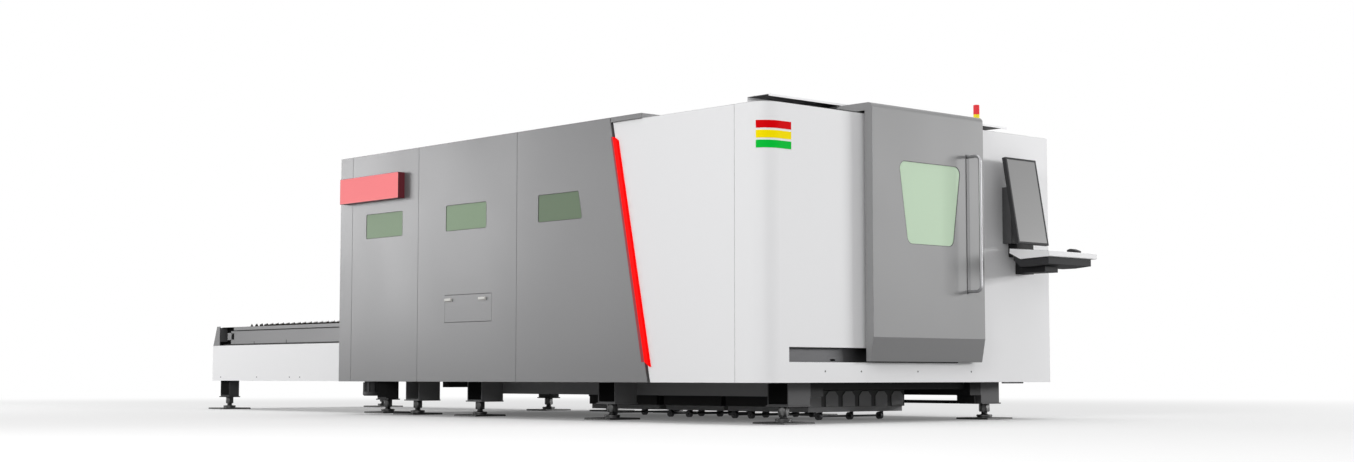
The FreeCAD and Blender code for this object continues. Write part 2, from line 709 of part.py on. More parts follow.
def slag_chutes():
    """Sloping sheets that lead slag into the carts, and a plate behind them."""
    mouth_left = CART_X + 20.0
    mouth_right = CART_X + CART_WIDTH - 20.0
    right_x = 2 * CENTRE_X - BEAM_INNER_X
    left = [
        (BEAM_INNER_X, CHUTE_HIGH_Z),
        (BEAM_INNER_X, CHUTE_HIGH_Z + CHUTE_THICK),
        (mouth_left, CHUTE_LOW_Z + CHUTE_THICK),
        (mouth_left, CHUTE_LOW_Z),
    ]
    right = [
        (right_x, CHUTE_HIGH_Z),
        (right_x, CHUTE_HIGH_Z - 20.0),
        (mouth_right, CHUTE_LOW_Z),
        (mouth_right - CHUTE_THICK, CHUTE_LOW_Z),
    ]
    floor_z = CROSS_BEAM_LOW_Z + CROSS_BEAM_HEIGHT
    rear_end = BEAM_END_Y - CHUTE_REAR_GAP
    rear = box(BEAM_INNER_X, right_x, CHUTE_END_Y + CHUTE_THICK, rear_end, floor_z, floor_z + CHUTE_THICK)
    return [
        slab_y(left, CHUTE_FRONT_Y, CHUTE_END_Y),
        slab_y(right, CHUTE_FRONT_Y, CHUTE_END_Y),
        rear,
    ]


def bed():
    """Welded bed, its brackets, feet, rails, ledges and chutes."""
    frame = both_sides(bed_beam())
    right_x = 2 * CENTRE_X - BEAM_INNER_X
    for row in CROSS_ROWS:
        y = FOOT_ROWS[row]
        half = CROSS_BEAM_WIDTH / 2
        high = CROSS_BEAM_LOW_Z + CROSS_BEAM_HEIGHT
        frame.append(box(BEAM_INNER_X, right_x, y - half, y + half, CROSS_BEAM_LOW_Z, high))
    for y in FOOT_ROWS:
        frame += both_sides(leg_bracket(y))
    for y in CABIN_ARM_ROWS:
        frame += both_sides(cabin_arm(y))
    save("bed_frame", frame + [bay_apron()])
    save("levelling_screws", [levelling_screw(x, y) for x, y in foot_places()])
    save("floor_plates", [floor_plate(x, y) for x, y in foot_places()])
    save("slag_chutes", slag_chutes())
    rail_x = BEAM_X + (BEAM_WIDTH - GUIDE_RAIL_WIDTH) / 2
    rail_top = BED_TOP + GUIDE_RAIL_HEIGHT
    reach = GANTRY_TRAVEL + TRUCK_LENGTH / 2 + GUIDE_RAIL_STOP
    front, back = GANTRY_Y - reach, GANTRY_Y + reach
    rail = box(rail_x, rail_x + GUIDE_RAIL_WIDTH, front, back, BED_TOP, rail_top)
    save("gantry_guide_rails", both_sides(rail))
    ledges = []
    for z in (LOWER_PALLET_Z, UPPER_PALLET_Z):
        inner = BEAM_INNER_X + LEDGE_WIDTH
        ledge = box(BEAM_INNER_X, inner, BED_LEDGE_FRONT_Y, BEAM_END_Y, z - LEDGE_THICK, z - RUN)
        ledges += both_sides(ledge)
    save("pallet_ledges", ledges)


# ---------------------------------------------------------------- cabin --
def corner_band(outer, inner, trim, z0, z1):
    """Sheet stretch that follows the left side, the round corner and the front."""
    radius = CORNER_RADIUS
    cos45 = math.sqrt(0.5)
    side_end = CORNER_SEAM_Y - trim
    front_end = CABIN_WIDTH - trim

    def on_corner(depth):
        return radius - (radius - depth) * cos45

    p = [V(outer, side_end, z0), V(outer, radius, z0), V(radius, outer, z0), V(front_end, outer, z0)]
    q = [V(front_end, inner, z0), V(radius, inner, z0), V(inner, radius, z0), V(inner, side_end, z0)]
    out_mid = V(on_corner(outer), on_corner(outer), z0)
    in_mid = V(on_corner(inner), on_corner(inner), z0)
    edges = [
        Part.LineSegment(p[0], p[1]).toShape(),
        Part.Arc(p[1], out_mid, p[2]).toShape(),
        Part.LineSegment(p[2], p[3]).toShape(),
        Part.LineSegment(p[3], q[0]).toShape(),
        Part.LineSegment(q[0], q[1]).toShape(),
        Part.Arc(q[1], in_mid, q[2]).toShape(),
        Part.LineSegment(q[2], q[3]).toShape(),
        Part.LineSegment(q[3], p[0]).toShape(),
    ]
    return Part.Face(Part.Wire(edges)).extrude(V(0, 0, z1 - z0))


def door_opening():
    """Edges of the opening behind the door: left, right, low, high."""
    return DOOR_X + OPENING_MARGIN, DOOR_END_X - OPENING_MARGIN, OPENING_LOW_Z, OPENING_HIGH_Z


def slot_ends():
    """Left and right end of the guide slot, past the guide blocks' travel."""
    margin = GUIDE_WIDTH / 2 + SLOT_END_MARGIN
    left = DOOR_X + GUIDE_INSET_LEFT - DOOR_TRAVEL - margin
    return left, DOOR_END_X - GUIDE_INSET_RIGHT + margin


def front_wall():
    """One folded sheet: left corner, front face, door opening and guide slot."""
    wall = corner_band(0, FOLD, 0, SKIRT_HEIGHT, WALL_TOP)
    low, high = SKIRT_HEIGHT + SHEET, WALL_TOP - SHEET
    wall = wall.cut(corner_band(SHEET, FOLD + SHEET, SHEET, low, high))
    left, right, bottom, top = door_opening()
    lip = box(left - SHEET, right + SHEET, 0, FOLD, bottom - SHEET, top + SHEET)
    wall = wall.fuse(lip)
    wall = wall.cut(box(left, right, -SHEET, FOLD + SHEET, bottom, top))
    slot_x0, slot_x1 = slot_ends()
    slot = box(slot_x0, slot_x1, -SHEET, SHEET + 1, SLOT_LOW_Z, SLOT_LOW_Z + SLOT_HEIGHT)
    return wall.cut(slot).removeSplitter()


def status_bands():
    """Three coloured bands laid on the round corner."""
    bands = []
    reach = box(-FOLD, BAND_FRONT_X, -FOLD, BAND_SIDE_Y, SKIRT_HEIGHT, WALL_TOP)
    for k in range(3):
        z0 = BAND_LOW_Z + k * (BAND_HEIGHT + BAND_GAP)
        ring = corner_band(-BAND_PROUD, 0, 0, z0, z0 + BAND_HEIGHT)
        bands.append(ring.common(reach))
    return bands


def light_corners(clearance):
    """Corners of the light strip, or of its recess with a clearance."""
    near = 2.0
    far = near + LIGHT_WIDTH + clearance
    slope = LIGHT_END_RISE / LIGHT_WIDTH
    low, high = LIGHT_LOW_Z - clearance, LIGHT_HIGH_Z + clearance
    if clearance:
        near = GROOVE
    rise = slope * (far - near)
    return [
        (slant_y(low) - far, low),
        (slant_y(low + rise) - near, low + rise),
        (slant_y(high + rise) - near, high + rise),
        (slant_y(high) - far, high),
    ]


def white_side_outline():
    """Side panel between the corner and the slanted joint, with the strip's recess."""
    front = CORNER_SEAM_Y + SEAM
    recess = light_corners(LIGHT_GAP)
    return [
        (front, SKIRT_HEIGHT),
        (slant_y(SKIRT_HEIGHT) - GROOVE, SKIRT_HEIGHT),
        recess[1],
        recess[0],
        recess[3],
        recess[2],
        (slant_y(WALL_TOP) - GROOVE, WALL_TOP),
        (front, WALL_TOP),
    ]


def grey_outlines():
    """The three grey side panels, front to rear."""
    half = SEAM / 2
    first = [
        (slant_y(SKIRT_HEIGHT), SKIRT_HEIGHT),
        (GREY_SEAM_1_Y - half, SKIRT_HEIGHT),
        (GREY_SEAM_1_Y - half, CAP_TOP),
        (slant_y(CAP_TOP), CAP_TOP),
    ]
    middle = [
        (GREY_SEAM_1_Y + half, SKIRT_HEIGHT),
        (GREY_SEAM_2_Y - half, SKIRT_HEIGHT),
        (GREY_SEAM_2_Y - half, CAP_TOP),
        (GREY_SEAM_1_Y + half, CAP_TOP),
    ]
    last = [
        (GREY_SEAM_2_Y + half, SKIRT_HEIGHT),
        (REAR_SEAM_Y - half, SKIRT_HEIGHT),
        (REAR_SEAM_Y - half, CAP_TOP),
        (GREY_SEAM_2_Y + half, CAP_TOP),
    ]
    return [first, middle, last]


def window_outlines():
    """Openings for the three side windows, front to rear."""
    low, high = WINDOW_LOW_Z, WINDOW_LOW_Z + WINDOW_HEIGHT
    front = [
        (WINDOW_FRONT_Y, low),
        (WINDOW_FRONT_END_Y, low),
        (WINDOW_FRONT_END_Y, high),
        (WINDOW_FRONT_Y + WINDOW_HEIGHT * TAN_LEAN, high),
    ]
    shapes = [front]
    for y in (WINDOW_MIDDLE_Y, WINDOW_REAR_Y):
        end = y + WINDOW_LENGTH
        shapes.append([(y, low), (end, low), (end, high), (y, high)])
    return shapes


def hatch_pin_place():
    """Middle of the hatch pin: x and z."""
    x = -GREY_PROUD + SHEET + HATCH_PIN_RADIUS + SIDE_RUN
    return x, HATCH_LOW_Z + 9.0


def left_panels():
    """Grey panels with their windows, and the hatch opening in the middle one."""
    panels = []
    for shape, window in zip(grey_outlines(), window_outlines()):
        panel = pan_x(shape, -GREY_PROUD, PAN_DEPTH)
        hole = slab_x(window, -GREY_PROUD - 1, -GREY_PROUD + SHEET + 1, [WINDOW_CORNER] * 4)
        panels.append(panel.cut(hole))
    end = HATCH_Y + HATCH_LENGTH
    high = HATCH_LOW_Z + HATCH_HEIGHT
    opening = box(-GREY_PROUD - 1, -GREY_PROUD + SHEET + 1, HATCH_Y, end, HATCH_LOW_Z, high)
    pin_x, pin_z = hatch_pin_place()
    pin = rod(V(pin_x, HATCH_Y - 25, pin_z), V(0, 1, 0), HATCH_PIN_RADIUS, HATCH_LENGTH + 50)
    ears = []
    for y in (HATCH_Y - 15, end + 10):
        ears.append(box(-GREY_PROUD + SHEET, pin_x + 8, y, y + 5, pin_z - 10, pin_z + 10))
    middle = fused([panels[1].cut(opening)] + ears + [pin])
    save("grey_panel_front_left", panels[0])
    save("grey_panel_middle_left", middle)
    save("grey_panel_rear_left", panels[2])


def hatch_flap():
    """Drop-down flap: a shallow pan with bored end folds for the pin."""
    y0, y1 = HATCH_Y + HATCH_GAP, HATCH_Y + HATCH_LENGTH - HATCH_GAP
    z0, z1 = HATCH_LOW_Z + 2 * HATCH_GAP, HATCH_LOW_Z + HATCH_HEIGHT - 2 * HATCH_GAP
    pin_x, pin_z = hatch_pin_place()
    x0 = -GREY_PROUD
    block = box(x0, x0 + HATCH_DEPTH, y0, y1, z0, z1)
    inner = box(x0 + SHEET, x0 + HATCH_DEPTH + 1, y0 + SHEET, y1 - SHEET, z0 - 1, z1 - SHEET)
    bore = rod(V(pin_x, y0 - 1, pin_z), V(0, 1, 0), HATCH_PIN_RADIUS + PIN_CLEARANCE, y1 - y0 + 2)
    return block.cut(inner).cut(bore)


def hatch_grips():
    """Two pull grips near the flap's upper corners, rounded outwards."""
    top = HATCH_LOW_Z + HATCH_HEIGHT - GRIP_DROP
    grips = []
    for y in (HATCH_Y + 78.0, HATCH_Y + HATCH_LENGTH - 14.0 - GRIP_LENGTH):
        profile = [
            (-GREY_PROUD, top),
            (-GREY_PROUD, top - GRIP_HEIGHT),
            (-GREY_PROUD - GRIP_DEPTH, top - GRIP_HEIGHT + 8.0),
            (-GREY_PROUD - GRIP_DEPTH, top),
        ]
        grips.append(slab_y(profile, y, y + GRIP_LENGTH, [0, 0, 5.0, 5.0]))
    return grips


def side_fittings():
    """Light strip, its channel, window panes, sign box and hatch."""
    back = FOLD
    half_width = 25.0
    channel = [
        (slant_y(SKIRT_HEIGHT) - LIGHT_WIDTH - half_width, SKIRT_HEIGHT),
        (slant_y(SKIRT_HEIGHT) + half_width, SKIRT_HEIGHT),
        (slant_y(WALL_TOP) + half_width, WALL_TOP),
        (slant_y(WALL_TOP) - LIGHT_WIDTH - half_width, WALL_TOP),
    ]
    save("light_channel", slab_x(channel, back, back + SHEET))
    save("light_strip", slab_x(light_corners(0.0), LIGHT_RECESS, back))
    panes = []
    for window in window_outlines():
        face = -GREY_PROUD + SHEET
        panes.append(slab_x(inset(window, -PANE_LAP), face, face + PANE, [WINDOW_CORNER] * 4))
    save("side_windows", panes)
    y1, z1 = SIGN_Y + SIGN_LENGTH, SIGN_LOW_Z + SIGN_HEIGHT
    sign = [(SIGN_Y, SIGN_LOW_Z), (y1, SIGN_LOW_Z), (y1, z1), (SIGN_Y, z1)]
    tray_x = SIGN_FACE_X + SIGN_FACE_THICK
    case = slab_x(sign, SIGN_FACE_X, -GREY_PROUD, [8.0] * 4)
    case = case.cut(slab_x(inset(sign, SHEET), SIGN_FACE_X - 1, -GREY_PROUD - SHEET, [6.0] * 4))
    save("sign_case", case)
    face = slab_x(inset(sign, SHEET), SIGN_FACE_X, tray_x, [6.0] * 4)
    rib_x = -GREY_PROUD - SHEET
    ribs = []
    for y in (SIGN_Y + SIGN_LENGTH / 4, SIGN_Y + SIGN_LENGTH * 3 / 4):
        ribs.append(box(tray_x, rib_x, y, y + SHEET, SIGN_LOW_Z + SHEET, z1 - SHEET))
    save("sign_face", fused([face] + ribs))
    save("hatch_flap", hatch_flap())
    save("hatch_grips", hatch_grips())


def rear_wall():
    """Folded rear wall that wraps both rear corners, with the exchange opening."""
    x0, x1 = -GREY_PROUD, CABIN_WIDTH + GREY_PROUD
    y0, y1 = REAR_SEAM_Y + SEAM / 2, CABIN_LENGTH
    z0, z1 = SKIRT_HEIGHT, CAP_TOP
    wall = box(x0, x1, y0, y1, z0, z1)
    wall = wall.cut(box(FOLD, CABIN_WIDTH - FOLD, y0 - 1, y1 - FOLD, z0 - 1, z1 + 1))
    wall = wall.cut(box(x0 + SHEET, x1 - SHEET, y0 + SHEET, y1 - SHEET, z0 + SHEET, z1 - SHEET))
    left, right = PALLET_X - EXCHANGE_MARGIN, PALLET_X + PALLET_WIDTH + EXCHANGE_MARGIN
    low, high = EXCHANGE_LOW_Z, EXCHANGE_HIGH_Z
    lip = box(left - SHEET, right + SHEET, y1 - FOLD, y1, low - SHEET, high + SHEET)
    wall = wall.fuse(lip).cut(box(left, right, y1 - FOLD - 1, y1 + 1, low, high))
    return wall.removeSplitter()


def gate_edges():
    """Gate plate, lowered: left, right, low, high."""
    left = PALLET_X - EXCHANGE_MARGIN - GATE_LAP
    right = PALLET_X + PALLET_WIDTH + EXCHANGE_MARGIN + GATE_LAP
    return left, right, EXCHANGE_LOW_Z - 5.0, EXCHANGE_HIGH_Z + 5.0


def exchange_gate():
    """Lifting gate in its raised place, with a stiff lower fold."""
    left, right, low, high = gate_edges()
    y = CABIN_LENGTH - GATE_OFFSET - GATE_THICK
    plate = box(left, right, y, y + GATE_THICK, low + GATE_TRAVEL, high + GATE_TRAVEL)
    inner = GATE_GUIDE_WIDTH + 10.0
    fold = box(left + inner, right - inner, y - 15.0, y, low + GATE_TRAVEL, low + GATE_TRAVEL + 30)
    return fused([plate, fold])


def gate_guides():
    """Slotted guides for the gate, fixed to the rear wall."""
    left, right, low, high = gate_edges()
    y = CABIN_LENGTH - GATE_OFFSET - GATE_THICK
    x0 = left - SIDE_RUN - (GATE_GUIDE_WIDTH - GATE_SLOT_DEPTH)
    x1 = x0 + GATE_GUIDE_WIDTH
    top = high + GATE_TRAVEL + 15.0
    guide = box(x0, x1, y - 15.0, CABIN_LENGTH - SHEET, low - 15.0, top)
    y0, y1 = y - SIDE_RUN, y + GATE_THICK + SIDE_RUN
    slot = box(left - SIDE_RUN, x1 + 1, y0, y1, low - SIDE_RUN, top + 1)
    return both_sides(guide.cut(slot))


def roof():
    """Front roof sheet and the grey cap over the rear of the cabin."""
    edge = 8.0
    front = [
        (edge, edge),
        (CABIN_WIDTH - edge, edge),
        (CABIN_WIDTH - edge, CAP_FRONT_Y),
        (edge, CAP_FRONT_Y),
    ]
    save("roof_front", slab_z(front, WALL_TOP, ROOF_TOP, [CORNER_RADIUS - edge, 0, 0, 0]))
    x0, x1 = -GREY_PROUD, CABIN_WIDTH + GREY_PROUD
    step = slant_y(WALL_TOP) - SEAM
    end = CABIN_LENGTH - FOLD
    cap = [
        (x0, CAP_FRONT_Y),
        (x1, CAP_FRONT_Y),
        (x1, step),
        (CABIN_WIDTH - FOLD, step),
        (CABIN_WIDTH - FOLD, end),
        (FOLD, end),
        (FOLD, step),
        (x0, step),
    ]
    block = slab_z(cap, WALL_TOP, CAP_TOP)
    hollow = slab_z(inset(cap, SHEET), WALL_TOP - 1, CAP_TOP - SHEET)
    save("roof_cap", block.cut(hollow))


def cabin():
    """All fixed panels of the cabin."""
    save("front_wall", front_wall())
    save("status_bands", status_bands())
    save("white_panel_left", pan_x(white_side_outline(), 0, FOLD))
    left_panels()
    side_fittings()
    plain_white = [
        (FOLD + SEAM, SKIRT_HEIGHT),
        (slant_y(SKIRT_HEIGHT) - SEAM, SKIRT_HEIGHT),
        (slant_y(WALL_TOP) - SEAM, WALL_TOP),
        (FOLD + SEAM, WALL_TOP),
    ]
    save("white_panel_right", mirrored(pan_x(plain_white, 0, FOLD)))
    greys = [mirrored(pan_x(shape, -GREY_PROUD, PAN_DEPTH)) for shape in grey_outlines()]
    save("grey_panels_right", greys)
    save("rear_wall", [rear_wall()] + gate_guides())
    save("exchange_gate", exchange_gate())
    roof()


# ----------------------------------------------------------------- door --
def door_side():
    """Side view (y, z) of the door with its hood, end plate included."""
    return [
        (DOOR_BACK_Y, DOOR_LOW_Z),
        (DOOR_BACK_Y, HOOD_SKIRT_Z),
        (HOOD_TIP_Y - HOOD_SLOPE, HOOD_SKIRT_Z),
        (HOOD_TIP_Y, HOOD_TIP_Z),
        (HOOD_END_Y, HOOD_TOP),
        (DOOR_FACE_Y, HOOD_TOP),
        (DOOR_FACE_Y, DOOR_BEVEL_Z),
        (DOOR_FACE_Y + DOOR_BEVEL_BACK, DOOR_LOW_Z),
    ]


def roller_z():
    """Axle height of the door rollers, which run on the rail."""
    return ROOF_TOP + RAIL_FOOT + RAIL_HEIGHT + RUN + ROLLER_RADIUS


def roller_places():
    """Middle x of the two door rollers."""
    return DOOR_X + ROLLER_INSET, DOOR_END_X - ROLLER_INSET


def guide_places():
    """Middle x of the two lower guide blocks."""
    return DOOR_X + GUIDE_INSET_LEFT, DOOR_END_X - GUIDE_INSET_RIGHT


def door_window_outline():
    """Opening of the door window (x, z), wider at the top."""
    middle = (DOOR_X + DOOR_END_X) / 2 + 8.0
    half_low, half_high = DOOR_WINDOW_BOTTOM / 2, DOOR_WINDOW_TOP / 2
    return [
        (middle - half_low, DOOR_WINDOW_LOW_Z),
        (middle + half_low, DOOR_WINDOW_LOW_Z),
        (middle + half_high, DOOR_WINDOW_HIGH_Z),
        (middle - half_high, DOOR_WINDOW_HIGH_Z),
    ]


def door_shell():
    """Folded door with bevelled foot, rounded hood, end plates and brackets."""
    side = door_side()
    radii = [0, 0, 0, 0, 0, HOOD_RADIUS, 0, 0]
    block = slab_x(side, DOOR_X, DOOR_END_X, radii)
    x0, x1 = DOOR_X + SHEET, DOOR_END_X - SHEET
    under = SHEET * 4
    core = [
        (DOOR_BACK_Y + under, DOOR_LOW_Z + SHEET),
        (DOOR_BACK_Y + under, HOOD_SKIRT_Z - under),
        (HOOD_TIP_Y - HOOD_SLOPE + 2.0, HOOD_SKIRT_Z - under),
        (HOOD_TIP_Y + under, HOOD_TIP_Z - 2.0),
        (HOOD_TIP_Y + under, HOOD_TOP - SHEET),
        (DOOR_FACE_Y + SHEET, HOOD_TOP - SHEET),
        (DOOR_FACE_Y + SHEET, DOOR_BEVEL_Z),
        (DOOR_FACE_Y + DOOR_BEVEL_BACK + SHEET, DOOR_LOW_Z + SHEET),
    ]
    core_radii = [0, 0, 0, 0, 0, HOOD_RADIUS - SHEET, 0, 0]
    shell = block.cut(slab_x(core, x0, x1, core_radii))
    flange_y = DOOR_BACK_Y - SHEET
    ring = box(x0, x1, flange_y, DOOR_BACK_Y, DOOR_LOW_Z, HOOD_SKIRT_Z)
    clear = DOOR_FLANGE
    low, high = DOOR_LOW_Z + clear, HOOD_SKIRT_Z - clear
    ring = ring.cut(box(x0 + clear, x1 - clear, flange_y - 1, DOOR_BACK_Y + 1, low, high))
    parts = [shell, ring]
    shelf_end = RAIL_Y + 24.0
    parts.append(box(x0, x1, HOOD_END_Y - 5.0, shelf_end, HOOD_TOP - SHEET, HOOD_TOP))
    for x in roller_places():
        bracket_y = RAIL_Y + RAIL_WIDTH / 2 + SIDE_RUN + ROLLER_RIM + 3.0
        low = roller_z() - 14.0
        parts.append(box(x - 20, x + 20, bracket_y, bracket_y + 6, low, HOOD_TOP - SHEET))
        tip = RAIL_Y - RAIL_WIDTH / 2 - ROLLER_RIM - 3.0
        parts.append(rod(V(x, tip, roller_z()), V(0, 1, 0), ROLLER_AXLE, bracket_y + 3 - tip))
    guide_low = SLOT_LOW_Z + (SLOT_HEIGHT - GUIDE_HEIGHT) / 2
    for x in guide_places():
        half = GUIDE_WIDTH / 2
        guide_high = guide_low + GUIDE_HEIGHT
        parts.append(box(x - half, x + half, flange_y, DOOR_BACK_Y, DOOR_LOW_Z, guide_high))
        parts.append(box(x - half, x + half, flange_y, GUIDE_REACH, guide_low, guide_high))
    door = fused(parts)
    corners = [DOOR_WINDOW_CORNER] * 4
    hole = slab_y(door_window_outline(), DOOR_FACE_Y - 1, DOOR_FACE_Y + SHEET + 1, corners)
    return door.cut(hole)


def handle_bend(x, z, start):
    """Quarter ring of the handle bar about a centre at height z."""
    centre = V(x, DOOR_FACE_Y - HANDLE_REACH + HANDLE_BEND, z)
    ring = Part.makeTorus(HANDLE_BEND, HANDLE_BAR, centre, V(1, 0, 0), 0, 360, 90)
    ring.rotate(centre, V(1, 0, 0), start)
    return ring


def door_handle():
    """Tall bowed bar on a flat mounting strip."""
    x = DOOR_END_X - HANDLE_FROM_RIGHT
    strip_y = DOOR_FACE_Y - STRIP_THICK
    out_y = DOOR_FACE_Y - HANDLE_REACH
    low, high = HANDLE_LOW_Z, HANDLE_HIGH_Z
    bend = HANDLE_BEND
    leg = strip_y - out_y - bend
    bar = [
        rod(V(x, out_y + bend, low), V(0, 1, 0), HANDLE_BAR, leg),
        rod(V(x, out_y + bend, high), V(0, 1, 0), HANDLE_BAR, leg),
        rod(V(x, out_y, low + bend), V(0, 0, 1), HANDLE_BAR, high - low - 2 * bend),
        handle_bend(x, low + bend, 90),
        handle_bend(x, high - bend, 0),
    ]
    half = STRIP_WIDTH / 2
    end = HANDLE_BAR + STRIP_BORDER
    strip = box(x - half, x + half, strip_y, DOOR_FACE_Y, low - end, high + end)
    return fused([strip] + bar)


def roller(x):
    """Grooved roller with a bore for its axle."""
    y = RAIL_Y
    half = RAIL_WIDTH / 2 + SIDE_RUN
    rim = ROLLER_RADIUS + ROLLER_FLANGE
    tread = rod(V(x, y - half, roller_z()), V(0, 1, 0), ROLLER_RADIUS, 2 * half)
    pieces = [tread]
    for start in (y - half - ROLLER_RIM, y + half):
        pieces.append(rod(V(x, start, roller_z()), V(0, 1, 0), rim, ROLLER_RIM))
    start = V(x, y - half - ROLLER_RIM - 1, roller_z())
    length = 2 * half + 2 * ROLLER_RIM + 2
    bore = rod(start, V(0, 1, 0), ROLLER_AXLE + PIN_CLEARANCE, length)
    return fused(pieces).cut(bore)


def door_set():
    """Door, its window, handle and rollers, its rail, cover and guide channel."""
    save("door_shell", door_shell())
    face = DOOR_FACE_Y + SHEET
    pane = inset(door_window_outline(), -DOOR_PANE_LAP)
    save("door_window", slab_y(pane, face, face + PANE, [DOOR_WINDOW_CORNER] * 4))
    save("door_handle", door_handle())
    left, right = roller_places()
    save("door_roller_left", roller(left))
    save("door_roller_right", roller(right))
    end = COVER_END_X
    back = COVER_FRONT_Y + COVER_DEPTH
    cover = [
        (COVER_FRONT_Y, COVER_TOP - COVER_LIP),
        (COVER_FRONT_Y, COVER_TOP),
        (back, COVER_TOP),
        (back, ROOF_TOP),
        (back - SHEET, ROOF_TOP),
        (back - SHEET, COVER_TOP - SHEET),
        (COVER_FRONT_Y + SHEET, COVER_TOP - SHEET),
        (COVER_FRONT_Y + SHEET, COVER_TOP - COVER_LIP),
    ]
    save("track_cover", slab_x(cover, COVER_X, end))
    rail_x0, rail_x1 = left - DOOR_TRAVEL - RAIL_STOP, end - RAIL_STOP
    half = RAIL_FOOT_WIDTH / 2
    foot = box(rail_x0, rail_x1, RAIL_Y - half, RAIL_Y + half, ROOF_TOP, ROOF_TOP + RAIL_FOOT)
    half = RAIL_WIDTH / 2
    bar_low = ROOF_TOP + RAIL_FOOT
    bar = box(rail_x0, rail_x1, RAIL_Y - half, RAIL_Y + half, bar_low, bar_low + RAIL_HEIGHT)
    low, high = SLOT_LOW_Z - 8.0, SLOT_LOW_Z + SLOT_HEIGHT + 8.0
    deep = SHEET + GUIDE_CHANNEL_DEPTH
    channel = [
        (SHEET, low - SHEET),
        (deep, low - SHEET),
        (deep, high + SHEET),
        (SHEET, high + SHEET),
        (SHEET, high),
        (deep - SHEET, high),
        (deep - SHEET, low),
        (SHEET, low),
    ]
    slot_x0, slot_x1 = slot_ends()
    guide = slab_x(channel, slot_x0 - 14.0, slot_x1 + 14.0)
    save("door_tracks", [fused([foot, bar]), guide])


def signal_tower():
    """Grey foot, green, yellow and red lenses and a cap on the track cover."""
    y = COVER_FRONT_Y + COVER_DEPTH / 2
    z = COVER_TOP
    base = rod(V(TOWER_X, y, z), V(0, 0, 1), TOWER_RADIUS + 3, TOWER_BASE)
    cap_z = z + TOWER_BASE + 3 * LENS_HEIGHT
    cap = Part.makeCone(TOWER_RADIUS, TOWER_RADIUS - 5, TOWER_CAP, V(TOWER_X, y, cap_z), V(0, 0, 1))
    lenses = []
    for k in range(3):
        low = z + TOWER_BASE + k * LENS_HEIGHT
        lenses.append(rod(V(TOWER_X, y, low), V(0, 0, 1), TOWER_RADIUS, LENS_HEIGHT))
    save("signal_tower", [base] + lenses + [cap])


# -------------------------------------------------------------- console --
def monitor_point(across, up):
    """A point (y, z) of the leaning monitor: depth behind its face, height."""
    lean = math.radians(MONITOR_LEAN)
    y = MONITOR_LOW_Y + up * math.sin(lean) + across * math.cos(lean)
    z = MONITOR_LOW_Z + up * math.cos(lean) - across * math.sin(lean)
    return y, z


def monitor_slab(x0, x1, across0, across1, up0, up1, radii=None):
    """Block in the monitor's own leaning directions."""
    side = [monitor_point(across0, up0), monitor_point(across1, up0)]
    side += [monitor_point(across1, up1), monitor_point(across0, up1)]
    return slab_x(side, x0, x1, radii)


def tray_top_z(y):
    """Height of the tray's sloping top at depth y."""
    share = (y - TRAY_FRONT_Y) / (TRAY_BACK_Y - TRAY_FRONT_Y)
    return TRAY_TOP_FRONT_Z + share * (TRAY_TOP_BACK_Z - TRAY_TOP_FRONT_Z)


